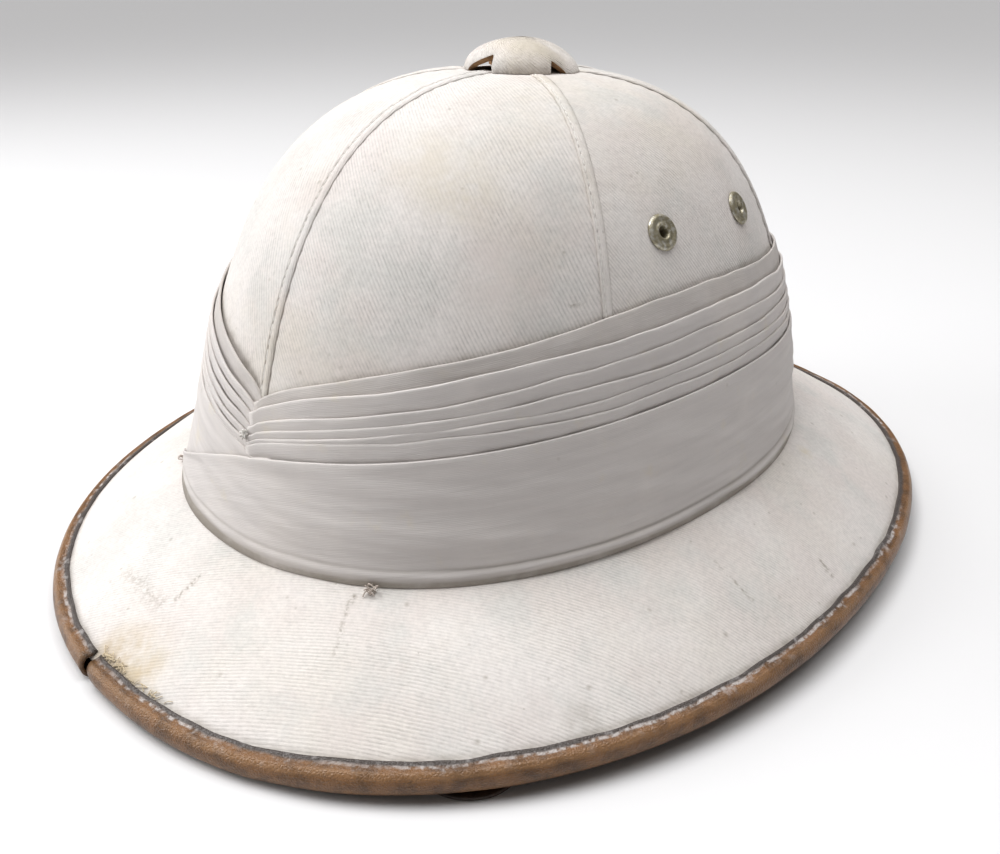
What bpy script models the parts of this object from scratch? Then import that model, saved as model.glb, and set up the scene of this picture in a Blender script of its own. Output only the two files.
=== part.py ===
# Pith helmet of cork, covered with white cloth: six crown gores under narrow seam tapes, a brim
# cover, a folded puggaree, a rolled leather binding, a vent cap, four eyelets and a chin strap.
# Metres, +Z up. The front looks towards -Y, and +X is the wearer's left.
# The crown is built about its own upright axis with its foot at height 0, and then hangs on one
# empty that leans it back and stands it on its rim.

import math

import bmesh
import bpy
from mathutils import Matrix, Vector

# Crown, over its cloth
CROWN_FRONT = 0.1224
CROWN_REAR = 0.1139
CROWN_SIDE = 0.0973
CROWN_HEIGHT = 0.1193
BELL_FRONT = 0.0125
BELL_REAR = 0.0089
BELL_SIDE = 0.0084
FRONT_DIP = 0.0082
CROWN_PLAN_POWER = 2.08
CROWN_RISE_POWER = 2.61
CROWN_ROUND_POWER = 2.82

# Brim, to the middle of the rolled binding
RIM_FRONT = 0.1682
RIM_REAR = 0.1736
RIM_SIDE = 0.1378
RIM_PLAN_POWER = 2.15
RIM_ARCH = 0.0042
RIM_ARCH_POWER = 0.8
RIM_REST_ANGLE = math.radians(17)
BRIM_BULGE = 0.0020

# Stand
FOOT_HEIGHT = 0.0372
LEAN = math.radians(1.1)

# Materials' thicknesses, and the gap between pieces that touch
CORK = 0.0030
CLOTH = 0.0010
GAP = 0.0003

# Gores and the tapes over their seams
SEAM_AZIMUTHS = (0, 56, 123, 180, 237, 304)
GORE_COLUMNS = (7, 8, 7, 7, 8, 7)
GORE_NAMES = ("front_left", "side_left", "rear_left", "rear_right", "side_right", "front_right")
SEAM_NAMES = ("front", "front_left", "rear_left", "rear", "rear_right", "front_right")
CROWN_ROWS = 10
BRIM_ROWS = 3
TAPE_WIDTH = 0.0050
TAPE_THICKNESS = 0.0008

# Puggaree: heights are along the crown's wall above its foot
BAND_FRONT = 0.0205
BAND_SIDE = 0.0380
BAND_THICKNESS = 0.0024
BAND_ROWS = 2
FOLDS_FRONT = 0.0395
FOLDS_SIDE = 0.0660
FOLD_THICKNESS = 0.0030
FOLD_LAP = 0.0009
V_POWER_LEFT = 0.70
V_POWER_RIGHT = 0.55
REAR_DIP_SHARE = 0.30
# Upper edge of each fold, as a share of the stack's height
FOLD_EDGES = (0.0, 0.13, 0.25, 0.42, 0.60, 0.77, 1.0)

# Rolled leather binding
BINDING_RADIUS = 0.0044
BINDING_LIP = 0.0035
BINDING_JOINT_AZIMUTH = -6
BINDING_JOINT_GAP = 0.0020
BINDING_FLAT = math.radians(15)

# Vent hole and cap
VENT_HOLE_RADIUS = 0.0080
CAP_RADIUS = 0.0185
CAP_HEIGHT = 0.0095
CAP_WALL = 0.0020
CAP_ARCH_WIDTH = 0.0110
CAP_ARCH_HEIGHT = 0.0058
CAP_ARCH_AZIMUTHS = (0, 90)
CAP_ARCH_STEPS = 6
CAP_SIDES = 24
CAP_ROWS = 5

# Eyelets
EYELET_MIDDLE = 88
EYELET_SPREAD = 16
EYELET_HEIGHT = 0.0815
EYELET_RADIUS = 0.0055
EYELET_HOLE_RADIUS = 0.0023
EYELET_BARREL_RADIUS = 0.0031
EYELET_FLANGE = 0.0010
EYELET_SHOULDER_SHARE = 0.75
EYELET_LIP_SHARE = 0.80
EYELET_SIDES = 10

# Chin strap and its tabs
STRAP_WIDTH = 0.0050
STRAP_THICKNESS = 0.0012
STRAP_STEPS = 3
STRAP_HANG_POWER = 1.6
STRAP_HANG_SHARES = (0.25, 0.50, 0.75)
TAB_WIDTH = 0.0140
TAB_HEIGHT = 0.0100
TAB_THICKNESS = 0.0020
TAB_FOOT_CLEARANCE = 0.0020
# The strap's middle line on the surface, from the left tab to the right one
STRAP_FLOOR_POINTS = (
    (0.0800, -0.0300),
    (0.0825, -0.0500),
    (0.0890, -0.0800),
    (0.0955, -0.1040),
    (0.0985, -0.1170),
    (0.0980, -0.1270),
    (0.0920, -0.1335),
    (0.0820, -0.1355),
    (0.0640, -0.1335),
    (0.0380, -0.1280),
    (0.0080, -0.1180),
    (-0.0220, -0.1010),
    (-0.0480, -0.0770),
    (-0.0670, -0.0500),
    (-0.0780, -0.0270),
)

# Colours
WHITE_CLOTH = (0.80, 0.79, 0.76)
PUGGAREE_CLOTH = (0.72, 0.71, 0.70)
CORK_BROWN = (0.45, 0.32, 0.20)
BINDING_BROWN = (0.28, 0.16, 0.09)
STRAP_BROWN = (0.06, 0.035, 0.025)
EYELET_METAL = (0.42, 0.42, 0.34)

# Fineness: a small share of a height or width, a small turn, and rounds of refinement
SHARE_STEP = 0.0005
FOOT_SHARE = 0.02
TURN_STEP = 0.002
REFINEMENTS = 4

PLATE = CORK + GAP + CLOTH
SHELL_OFFSET = -(CLOTH + GAP)
RIM_REST = BINDING_RADIUS * math.cos(BINDING_FLAT)


# Scene, materials and mesh helpers

def clear_scene():
    for item in list(bpy.data.objects):
        bpy.data.objects.remove(item, do_unlink=True)


def make_material(name, colour, roughness, metallic=0.0):
    material = bpy.data.materials.new(name)
    material.use_nodes = True
    shader = material.node_tree.nodes["Principled BSDF"]
    shader.inputs["Base Color"].default_value = (*colour, 1.0)
    shader.inputs["Roughness"].default_value = roughness
    shader.inputs["Metallic"].default_value = metallic
    return material


def finish_mesh(name, bm, material, parent=None, sharp_angle=35):
    """Close a bmesh into an object with outward faces and its own material."""
    bmesh.ops.recalc_face_normals(bm, faces=bm.faces)
    mesh = bpy.data.meshes.new(name)
    bm.to_mesh(mesh)
    bm.free()
    mesh.shade_smooth()
    mesh.set_sharp_from_angle(angle=math.radians(sharp_angle))
    mesh.materials.append(material)
    result = bpy.data.objects.new(name, mesh)
    bpy.context.scene.collection.objects.link(result)
    result.parent = parent
    return result


def loft(sections, closed):
    """A solid skinned over sections of equally many points; open ends get flat caps."""
    bm = bmesh.new()
    loops = [[bm.verts.new(point) for point in section] for section in sections]
    count = len(loops[0])
    pairs = list(zip(loops, loops[1:]))
    if closed:
        pairs.append((loops[-1], loops[0]))
    for first, second in pairs:
        for j in range(count):
            k = (j + 1) % count
            bm.faces.new((first[j], first[k], second[k], second[j]))
    if not closed:
        bm.faces.new(loops[0])
        bm.faces.new(loops[-1])
    return bm


def cut(target, cutter):
    cutter.hide_render = True
    cutter.display_type = "WIRE"
    boolean = target.modifiers.new("cut_" + cutter.name, "BOOLEAN")
    boolean.operation = "DIFFERENCE"
    boolean.object = cutter


# The meridian: distance from the axis and height, at one azimuth round the helmet

def oval(azimuth, side, front, rear, power):
    """Radius of an egg-shaped superellipse in the direction of the azimuth."""
    length = front if math.cos(azimuth) > 0 else rear
    across = abs(math.sin(azimuth)) / side
    along = abs(math.cos(azimuth)) / length
    return (across**power + along**power) ** (-1 / power)


def crown_line(azimuth, share):
    """A point of the crown's wall at a share of its height, as (radius, height)."""
    lift = 1 - share
    bell = 1 - lift**2
    radius = oval(
        azimuth,
        CROWN_SIDE - BELL_SIDE * bell,
        CROWN_FRONT - BELL_FRONT * bell,
        CROWN_REAR - BELL_REAR * bell,
        CROWN_PLAN_POWER,
    )
    roundness = max(1 - share**CROWN_RISE_POWER, 0) ** (1 / CROWN_ROUND_POWER)
    dip = FRONT_DIP * max(math.cos(azimuth), 0) ** 2 * lift**2
    return Vector((radius * roundness, CROWN_HEIGHT * share - dip))


def crown_share(azimuth, radius):
    """The share of height at which the crown's top has this radius."""
    top = oval(
        azimuth,
        CROWN_SIDE - BELL_SIDE,
        CROWN_FRONT - BELL_FRONT,
        CROWN_REAR - BELL_REAR,
        CROWN_PLAN_POWER,
    )
    return (1 - (radius / top) ** CROWN_ROUND_POWER) ** (1 / CROWN_RISE_POWER)


def normal_of(tangent):
    """The outward normal of a meridian line that runs down and outwards."""
    return Vector((-tangent[1], tangent[0])).normalized()


def crown_tangent(azimuth, share):
    upper = crown_line(azimuth, min(share + SHARE_STEP, 1))
    lower = crown_line(azimuth, max(share - SHARE_STEP, 0))
    return (lower - upper).normalized()


def crown_offset(azimuth, share, offset):
    return crown_line(azimuth, share) + normal_of(crown_tangent(azimuth, share)) * offset


def floor_slope(azimuth):
    """Angle at which the floor runs away from the leaning crown's axis."""
    return -math.atan(math.cos(azimuth) * math.tan(LEAN))


def rim_middle(azimuth):
    """The middle of the rolled binding."""
    radius = oval(azimuth, RIM_SIDE, RIM_FRONT, RIM_REAR, RIM_PLAN_POWER)
    rest = math.sin(RIM_REST_ANGLE)
    share = max(abs(math.sin(azimuth)) - rest, 0) / (1 - rest)
    slope = floor_slope(azimuth)
    height = RIM_REST / math.cos(slope) + RIM_ARCH * share**RIM_ARCH_POWER
    return Vector((radius, radius * math.tan(slope) - FOOT_HEIGHT + height))


def brim_edge(azimuth):
    """The end of the brim's upper line over the binding's middle, and its normal there."""
    foot = crown_line(azimuth, 0)
    middle = rim_middle(azimuth)
    edge = middle
    for _ in range(REFINEMENTS):
        chord = edge - foot
        normal = normal_of(chord - normal_of(chord) * math.pi * BRIM_BULGE)
        edge = middle + normal * PLATE / 2
    return edge, normal


def brim_offset(azimuth, share, offset):
    """A point of the brim at a share of its width, raised by offset."""
    foot = crown_line(azimuth, 0)
    edge, _ = brim_edge(azimuth)
    chord = edge - foot
    up = normal_of(chord)
    line = foot + chord * share + up * BRIM_BULGE * math.sin(math.pi * share)
    slope = chord + up * BRIM_BULGE * math.pi * math.cos(math.pi * share)
    return line + normal_of(slope) * offset


def corner(azimuth, crown_raise, brim_raise):
    """Where the raised wall meets the raised brim at the crown's foot."""
    foot = crown_line(azimuth, 0)
    down = crown_tangent(azimuth, 0)
    out = (brim_offset(azimuth, FOOT_SHARE, 0) - foot).normalized()
    start = foot + normal_of(down) * crown_raise
    target = foot + normal_of(out) * brim_raise
    delta = target - start
    along = (delta[0] * out[1] - delta[1] * out[0]) / (down[0] * out[1] - down[1] * out[0])
    return start + down * along


def place(azimuth, point):
    """A meridian point as a point in space."""
    return Vector((math.sin(azimuth) * point[0], -math.cos(azimuth) * point[0], point[1]))


def columns_between(first, last, count):
    return [math.radians(first + (last - first) * i / count) for i in range(count + 1)]


def all_columns():
    """Azimuths once round, with a column on every seam."""
    result = []
    ends = SEAM_AZIMUTHS[1:] + (SEAM_AZIMUTHS[0] + 360,)
    for first, last, count in zip(SEAM_AZIMUTHS, ends, GORE_COLUMNS):
        result.extend(columns_between(first, last, count)[:-1])
    return result


def crown_shares(azimuth, top_radius):
    """Heights of the crown's rows, from the top row down to just above the foot."""
    top = crown_share(azimuth, top_radius)
    start = math.asin(top ** (CROWN_RISE_POWER / 2))
    angles = [start * (1 - i / CROWN_ROWS) for i in range(CROWN_ROWS)]
    return [math.sin(angle) ** (2 / CROWN_RISE_POWER) for angle in angles]


# Cork shell and its cloth

def shell_line(azimuth, offset, brim_end):
    """One side of the shell's section: down the crown, round the corner and out to the rim."""
    line = [crown_offset(azimuth, s, offset) for s in crown_shares(azimuth, VENT_HOLE_RADIUS)]
    line.append(corner(azimuth, offset, offset))
    for i in range(1, BRIM_ROWS + 1):
        line.append(brim_offset(azimuth, brim_end * i / BRIM_ROWS, offset))
    return line


def make_cork_shell(material, parent):
    sections = []
    for azimuth in all_columns():
        outer = shell_line(azimuth, SHELL_OFFSET, 1.0)
        inner = shell_line(azimuth, SHELL_OFFSET - CORK, 1.0)
        section = outer + inner[::-1]
        sections.append([place(azimuth, point) for point in section])
    return finish_mesh("cork_shell", loft(sections, closed=True), material, parent)


def gore_section(azimuth, edge_shift):
    """A gore's section at one column: outer line down, inner line back up."""
    shares = crown_shares(azimuth, VENT_HOLE_RADIUS)
    outer = [crown_offset(azimuth, share, 0) for share in shares]
    inner = [crown_offset(azimuth, share, -CLOTH) for share in shares]
    outer.append(corner(azimuth, 0, GAP))
    inner.append(corner(azimuth, -CLOTH, GAP))
    section = []
    for point in outer + inner[::-1]:
        section.append(place(azimuth + edge_shift / point[0], point))
    return section


def make_gore(index, material, parent):
    first = SEAM_AZIMUTHS[index]
    last = (SEAM_AZIMUTHS + (360,))[index + 1]
    columns = columns_between(first, last, GORE_COLUMNS[index])
    shifts = [GAP / 2] + [0] * (len(columns) - 2) + [-GAP / 2]
    sections = [gore_section(azimuth, shift) for azimuth, shift in zip(columns, shifts)]
    name = "gore_" + GORE_NAMES[index]
    return finish_mesh(name, loft(sections, closed=False), material, parent)


def surface_frame(azimuth, share):
    """Point, outward normal and sideways direction of the crown's cloth."""
    line = crown_line(azimuth, share)
    point = place(azimuth, line)
    flat_normal = normal_of(crown_tangent(azimuth, share))
    ahead = place(azimuth + TURN_STEP, crown_line(azimuth + TURN_STEP, share))
    behind = place(azimuth - TURN_STEP, crown_line(azimuth - TURN_STEP, share))
    sideways = (ahead - behind).normalized()
    upward = place(azimuth, Vector((-flat_normal[1], flat_normal[0])))
    normal = sideways.cross(upward).normalized()
    return point, normal, sideways


def blend_sections(first, second, share):
    return [a.lerp(b, share) for a, b in zip(first, second)]


def make_seam_tape(index, material, parent):
    """A tape on the gores' own rows, cut off at the cap's edge and over the puggaree."""
    azimuth = math.radians(SEAM_AZIMUTHS[index])
    rows = []
    for share in crown_shares(azimuth, VENT_HOLE_RADIUS) + [0]:
        point, normal, sideways = surface_frame(azimuth, share)
        base = point + normal * GAP
        crest = base + normal * TAPE_THICKNESS
        half = sideways * TAPE_WIDTH / 2
        rows.append([base - half, base + half, crest + half, crest - half])
    cap_edge = CAP_RADIUS + 2 * GAP
    radii = [(row[0] + row[1]).xy.length / 2 for row in rows]
    start = blend_sections(rows[0], rows[1], (cap_edge - radii[0]) / (radii[1] - radii[0]))
    half_angle = TAPE_WIDTH / 2 / CROWN_SIDE
    stop_height = max(fold_top(azimuth + turn) for turn in (-half_angle, 0, half_angle))
    stop = crown_line(azimuth, stop_height / CROWN_HEIGHT)[1] + 2 * GAP
    kept = [row for row in rows[1:] if min(point.z for point in row) > stop]
    above = rows[len(kept)]
    below = rows[len(kept) + 1]
    low = min(point.z for point in above)
    reach = (low - stop) / (low - min(point.z for point in below))
    sections = [start] + kept + [blend_sections(above, below, reach)]
    name = "seam_" + SEAM_NAMES[index]
    return finish_mesh(name, loft(sections, closed=False), material, parent)


def make_brim_cover(material, parent):
    sections = []
    for azimuth in all_columns():
        upper = [corner(azimuth, -CLOTH, 0)]
        lower = [corner(azimuth, -CLOTH, -CLOTH)]
        for i in range(1, BRIM_ROWS + 1):
            upper.append(brim_offset(azimuth, i / BRIM_ROWS, 0))
            lower.append(brim_offset(azimuth, i / BRIM_ROWS, -CLOTH))
        sections.append([place(azimuth, point) for point in upper + lower[::-1]])
    return finish_mesh("brim_cover", loft(sections, closed=True), material, parent)


# Puggaree

def v_share(azimuth):
    """How far a wrap has risen from the V at the front towards its height at the sides."""
    turn = math.remainder(azimuth, 2 * math.pi)
    if math.cos(turn) < 0:
        return 1 - REAR_DIP_SHARE * math.cos(turn) ** 2
    power = V_POWER_LEFT if turn > 0 else V_POWER_RIGHT
    return abs(math.sin(turn)) ** power


def band_top(azimuth):
    return BAND_FRONT + (BAND_SIDE - BAND_FRONT) * v_share(azimuth)


def fold_top(azimuth):
    return FOLDS_FRONT + (FOLDS_SIDE - FOLDS_FRONT) * v_share(azimuth)


def fold_height(azimuth, edge):
    return band_top(azimuth) + (fold_top(azimuth) - band_top(azimuth)) * edge


def make_puggaree_band(material, parent):
    outer_raise = GAP + BAND_THICKNESS
    sections = []
    for azimuth in all_columns():
        top = (band_top(azimuth) - GAP) / CROWN_HEIGHT
        shares = [top * (1 - i / BAND_ROWS) for i in range(BAND_ROWS)]
        outer = [crown_offset(azimuth, share, outer_raise) for share in shares]
        inner = [crown_offset(azimuth, share, GAP) for share in shares]
        outer.append(corner(azimuth, outer_raise, GAP))
        inner.append(corner(azimuth, GAP, GAP))
        sections.append([place(azimuth, point) for point in outer + inner[::-1]])
    return finish_mesh("puggaree_band", loft(sections, closed=True), material, parent)


def make_fold(index, material, parent):
    """One fold, proud at its upper edge, from the V at the front right round to the V again."""
    edges = FOLD_EDGES[index], FOLD_EDGES[index + 1]
    columns = all_columns() + [2 * math.pi]
    sections = []
    for azimuth in columns:
        low = fold_height(azimuth, edges[0]) / CROWN_HEIGHT
        high = (fold_height(azimuth, edges[1]) - GAP) / CROWN_HEIGHT
        section = [
            crown_offset(azimuth, low, GAP),
            crown_offset(azimuth, high, GAP),
            crown_offset(azimuth, high, GAP + FOLD_THICKNESS),
            crown_offset(azimuth, low, GAP + FOLD_THICKNESS - FOLD_LAP),
        ]
        shift = GAP / section[0][0] if azimuth == columns[0] else 0
        shift -= GAP / section[0][0] if azimuth == columns[-1] else 0
        sections.append([place(azimuth + shift, point) for point in section])
    name = f"puggaree_fold_{index + 1}"
    return finish_mesh(name, loft(sections, closed=False), material, parent)


# Binding

def turned(angle, radius):
    return Vector((math.cos(angle), math.sin(angle))) * radius


def binding_section(azimuth):
    """A rolled strip: outside from the upper lip to the lower one, then back round the inside."""
    middle = rim_middle(azimuth)
    _, normal = brim_edge(azimuth)
    inward = Vector((-normal[1], normal[0]))
    upright = math.atan2(normal[1], normal[0])
    down = floor_slope(azimuth) - math.pi / 2
    outer_turns = [upright - math.radians(turn) for turn in (0, 30, 60, 90)]
    outer_turns += [down + BINDING_FLAT, down - BINDING_FLAT, upright - math.pi]
    inner_turns = [upright - math.radians(turn) for turn in (180, 135, 90, 45, 0)]
    slot = PLATE / 2 + GAP
    lip = inward * BINDING_LIP
    outside = [middle + turned(angle, BINDING_RADIUS) for angle in outer_turns]
    inside = [middle + turned(angle, slot) for angle in inner_turns]
    outside = [outside[0] + lip] + outside + [outside[-1] + lip]
    return outside + [inside[0] + lip] + inside + [inside[-1] + lip]


def make_binding(material, parent):
    joint = math.radians(BINDING_JOINT_AZIMUTH)
    half = BINDING_JOINT_GAP / 2 / RIM_FRONT
    inner_columns = [a for a in all_columns() if a < 2 * math.pi + joint - 2 * half]
    columns = [joint + half] + inner_columns + [2 * math.pi + joint - half]
    sections = []
    for azimuth in columns:
        sections.append([place(azimuth, point) for point in binding_section(azimuth)])
    return finish_mesh("brim_binding", loft(sections, closed=False), material, parent)


# Vent cap

def cap_arc(radius, height):
    """A quarter of a dome's outline from the rim up to the pole."""
    arc = []
    for i in range(CAP_ROWS):
        angle = math.pi / 2 * i / CAP_ROWS
        arc.append((radius * math.cos(angle), 0, height * math.sin(angle)))
    return arc + [(0, 0, height)]


def make_cap_arch(azimuth, parent):
    """A round-topped tunnel right through the cap."""
    half = CAP_ARCH_WIDTH / 2
    outline = [(-half, -CAP_WALL), (half, -CAP_WALL)]
    shoulder = CAP_ARCH_HEIGHT - half
    for i in range(CAP_ARCH_STEPS + 1):
        angle = math.pi * i / CAP_ARCH_STEPS
        outline.append((half * math.cos(angle), shoulder + half * math.sin(angle)))
    reach = 2 * CAP_RADIUS
    sections = [[Vector((x, y, z)) for x, z in outline] for y in (-reach, reach)]
    arch = finish_mesh(f"cap_arch_{azimuth}", loft(sections, closed=False), None, parent)
    arch.location.z = CROWN_HEIGHT + GAP
    arch.rotation_euler.z = math.radians(azimuth)
    return arch


def make_vent_cap(material, parent):
    bm = bmesh.new()
    outer = [bm.verts.new(point) for point in cap_arc(CAP_RADIUS, CAP_HEIGHT)]
    inner = [bm.verts.new(p) for p in cap_arc(CAP_RADIUS - CAP_WALL, CAP_HEIGHT - CAP_WALL)]
    outline = outer[::-1] + inner
    edges = [bm.edges.new(pair) for pair in zip(outline, outline[1:])]
    bmesh.ops.spin(
        bm, geom=outline + edges, cent=(0, 0, 0), axis=(0, 0, 1),
        angle=2 * math.pi, steps=CAP_SIDES, use_merge=True,
    )
    bmesh.ops.remove_doubles(bm, verts=bm.verts, dist=1e-6)
    cap = finish_mesh("vent_cap", bm, material, parent)
    cap.location.z = CROWN_HEIGHT + GAP
    for azimuth in CAP_ARCH_AZIMUTHS:
        cut(cap, make_cap_arch(azimuth, parent))
    return cap


# Eyelets

def eyelet_matrix(azimuth):
    point, normal, _ = surface_frame(azimuth, EYELET_HEIGHT / CROWN_HEIGHT)
    return Matrix.Translation(point) @ normal.to_track_quat("Z", "Y").to_matrix().to_4x4()


def make_eyelet(name, azimuth, material, parent):
    """A flanged ring whose barrel goes through cloth and cork."""
    depth = CLOTH + GAP + CORK
    outline = (
        (EYELET_HOLE_RADIUS, EYELET_FLANGE * EYELET_LIP_SHARE),
        (EYELET_RADIUS * EYELET_SHOULDER_SHARE, GAP + EYELET_FLANGE),
        (EYELET_RADIUS, GAP),
        (EYELET_BARREL_RADIUS, GAP),
        (EYELET_BARREL_RADIUS, -depth),
        (EYELET_HOLE_RADIUS, -depth),
    )
    sections = []
    for i in range(EYELET_SIDES):
        turn = Matrix.Rotation(2 * math.pi * i / EYELET_SIDES, 3, "Z")
        sections.append([turn @ Vector((radius, 0, height)) for radius, height in outline])
    bm = loft(sections, closed=True)
    bm.transform(eyelet_matrix(azimuth))
    return finish_mesh(name, bm, material, parent)


def make_eyelet_cutter(name, azimuth, parent):
    bm = bmesh.new()
    bmesh.ops.create_cone(
        bm, cap_ends=True, segments=EYELET_SIDES, depth=4 * (CLOTH + CORK),
        radius1=EYELET_BARREL_RADIUS + 2 * GAP, radius2=EYELET_BARREL_RADIUS + 2 * GAP,
    )
    bm.transform(eyelet_matrix(azimuth))
    return finish_mesh("cut_" + name, bm, None, parent)


def make_eyelets(shell, gores, material, parent):
    rows = (
        ("eyelet_front_left", EYELET_MIDDLE - EYELET_SPREAD, "side_left"),
        ("eyelet_rear_left", EYELET_MIDDLE + EYELET_SPREAD, "side_left"),
        ("eyelet_front_right", EYELET_SPREAD - EYELET_MIDDLE, "side_right"),
        ("eyelet_rear_right", -EYELET_SPREAD - EYELET_MIDDLE, "side_right"),
    )
    for name, azimuth, gore in rows:
        make_eyelet(name, math.radians(azimuth), material, parent)
        cutter = make_eyelet_cutter(name, math.radians(azimuth), parent)
        cut(shell, cutter)
        cut(gores[gore], cutter)


# Chin strap

def tab_matrix(side, stand):
    """World frame of a tab: its own Z looks outwards through the wall, its Y runs up it."""
    wall = corner(math.pi / 2, SHELL_OFFSET - CORK, SHELL_OFFSET - CORK)
    height = wall[1] + TAB_FOOT_CLEARANCE + TAB_HEIGHT / 2
    point, normal, sideways = surface_frame(side * math.pi / 2, height / CROWN_HEIGHT)
    centre = point - normal * (PLATE + 2 * GAP + TAB_THICKNESS / 2)
    axes = Matrix((sideways, normal.cross(sideways), normal)).transposed()
    return stand @ Matrix.Translation(centre) @ axes.to_4x4()


def make_tab(name, side, stand, material):
    bm = bmesh.new()
    bmesh.ops.create_cube(bm, size=1)
    bm.transform(Matrix.Diagonal((TAB_WIDTH, TAB_HEIGHT, TAB_THICKNESS, 1)))
    tab = finish_mesh(name, bm, material)
    tab.matrix_world = tab_matrix(side, stand)
    return tab


def strap_end(side, stand, floor_end):
    """The strap's stretch from the top of a tab down to the surface."""
    up = Vector((0, 0, 1))
    frame = tab_matrix(side, stand)
    inward = -frame.col[2].xyz
    depth = -(TAB_THICKNESS / 2 + GAP + STRAP_THICKNESS / 2)
    top = frame @ Vector((0, TAB_HEIGHT / 2 - GAP, depth))
    edge = frame @ Vector((0, -TAB_HEIGHT / 2, depth))
    free = frame @ Vector((0, -TAB_HEIGHT / 2 - STRAP_WIDTH, depth))
    landing = Vector((*floor_end, STRAP_THICKNESS / 2))
    result = [(top, inward), (edge, inward), (free, inward)]
    for share in STRAP_HANG_SHARES:
        across = share**STRAP_HANG_POWER
        down = 1 - (1 - share) ** STRAP_HANG_POWER
        point = free.lerp(landing, across)
        point.z = free.z + (landing.z - free.z) * down
        result.append((point, inward.lerp(up, share).normalized()))
    return result


def strap_route(stand):
    """Route points with the flat side's direction, from the left tab to the right one."""
    up = Vector((0, 0, 1))
    rest = STRAP_THICKNESS / 2
    left = strap_end(1, stand, STRAP_FLOOR_POINTS[0])
    right = strap_end(-1, stand, STRAP_FLOOR_POINTS[-1])
    return left + [(Vector((x, y, rest)), up) for x, y in STRAP_FLOOR_POINTS] + right[::-1]


def smooth_value(before, start, end, after, share):
    """A Catmull-Rom step between two route values."""
    slope_in = (end - before) / 2
    slope_out = (after - start) / 2
    square = share * share
    cube = square * share
    return (
        start * (2 * cube - 3 * square + 1)
        + slope_in * (cube - 2 * square + share)
        + end * (3 * square - 2 * cube)
        + slope_out * (cube - square)
    )


def strap_line(stand):
    """The route's points and flat-side directions on one smooth curve."""
    route = strap_route(stand)
    rest = STRAP_THICKNESS / 2
    line = []
    for i in range(len(route) - 1):
        around = [route[max(i - 1, 0)], route[i], route[i + 1], route[min(i + 2, len(route) - 1)]]
        for j in range(STRAP_STEPS):
            share = j / STRAP_STEPS
            point = smooth_value(*(item[0] for item in around), share)
            point.z = max(point.z, rest)
            line.append((point, around[1][1].lerp(around[2][1], share)))
    line.append(route[-1])
    return line


def make_chin_strap(material, stand):
    line = strap_line(stand)
    points = [point for point, _ in line]
    sections = []
    for i, (point, facing) in enumerate(line):
        along = (points[min(i + 1, len(points) - 1)] - points[max(i - 1, 0)]).normalized()
        across = along.cross(facing).normalized()
        thick = across.cross(along).normalized() * STRAP_THICKNESS / 2
        wide = across * STRAP_WIDTH / 2
        under = [point - wide - thick, point + wide - thick]
        sections.append(under + [point + wide + thick, point - wide + thick])
    return finish_mesh("chin_strap", loft(sections, closed=False), material)


# Assembly

def make_stand():
    """The empty that leans the helmet back, centres it and lifts it onto its rim."""
    stand = bpy.data.objects.new("helmet_stand", None)
    bpy.context.scene.collection.objects.link(stand)
    rest_shift = RIM_REST * math.sin(LEAN)
    centre = (RIM_REAR - RIM_FRONT) / 2 * math.cos(LEAN) + rest_shift
    lift = Matrix.Translation((0, -centre, 0)) @ Matrix.Rotation(-LEAN, 4, "X")
    stand.matrix_world = lift @ Matrix.Translation((0, 0, FOOT_HEIGHT))
    return stand


def build():
    clear_scene()
    white = make_material("white_cloth", WHITE_CLOTH, 0.9)
    tape = make_material("seam_tape_cloth", WHITE_CLOTH, 0.85)
    wrap = make_material("puggaree_cloth", PUGGAREE_CLOTH, 0.8)
    cork = make_material("cork", CORK_BROWN, 0.95)
    binding = make_material("binding_leather", BINDING_BROWN, 0.5)
    strap = make_material("strap_leather", STRAP_BROWN, 0.45)
    metal = make_material("eyelet_metal", EYELET_METAL, 0.5, 0.9)

    stand = make_stand()
    world = stand.matrix_world.copy()
    shell = make_cork_shell(cork, stand)
    gores = {name: make_gore(i, white, stand) for i, name in enumerate(GORE_NAMES)}
    for i in range(len(SEAM_NAMES)):
        make_seam_tape(i, tape, stand)
    make_brim_cover(white, stand)
    make_puggaree_band(wrap, stand)
    for i in range(len(FOLD_EDGES) - 1):
        make_fold(i, wrap, stand)
    make_binding(binding, stand)
    make_vent_cap(white, stand)
    make_eyelets(shell, gores, metal, stand)
    make_tab("strap_tab_left", 1, world, strap)
    make_tab("strap_tab_right", -1, world, strap)
    make_chin_strap(strap, world)


build()
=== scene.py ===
import math
import random
from functools import lru_cache

import bmesh
import bpy
from mathutils import Matrix, Vector, noise


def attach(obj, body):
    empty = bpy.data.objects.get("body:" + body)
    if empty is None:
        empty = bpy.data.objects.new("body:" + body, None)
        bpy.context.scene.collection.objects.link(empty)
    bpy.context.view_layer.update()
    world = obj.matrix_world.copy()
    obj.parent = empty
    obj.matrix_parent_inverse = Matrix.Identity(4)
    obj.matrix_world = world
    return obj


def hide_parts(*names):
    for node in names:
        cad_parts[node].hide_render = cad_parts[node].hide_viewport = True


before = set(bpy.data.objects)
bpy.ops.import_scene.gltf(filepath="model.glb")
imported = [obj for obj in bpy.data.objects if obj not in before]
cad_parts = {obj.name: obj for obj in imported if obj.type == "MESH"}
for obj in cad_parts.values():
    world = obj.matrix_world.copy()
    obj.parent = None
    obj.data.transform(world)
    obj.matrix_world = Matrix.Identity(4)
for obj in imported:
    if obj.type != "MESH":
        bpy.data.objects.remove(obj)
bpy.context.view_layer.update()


# Cork shell. The helmet is moulded from pressed cork, 3 mm thick: a bell-shaped crown that is open
# underneath, and a sloping brim in one piece with it. Everything else is sewn, glued or rolled on
# to it, so its meridians give all other pieces their place. The crown leans back on its rim.
CROWN_FRONT = 0.1224
CROWN_REAR = 0.1139
CROWN_SIDE = 0.0973
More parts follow.
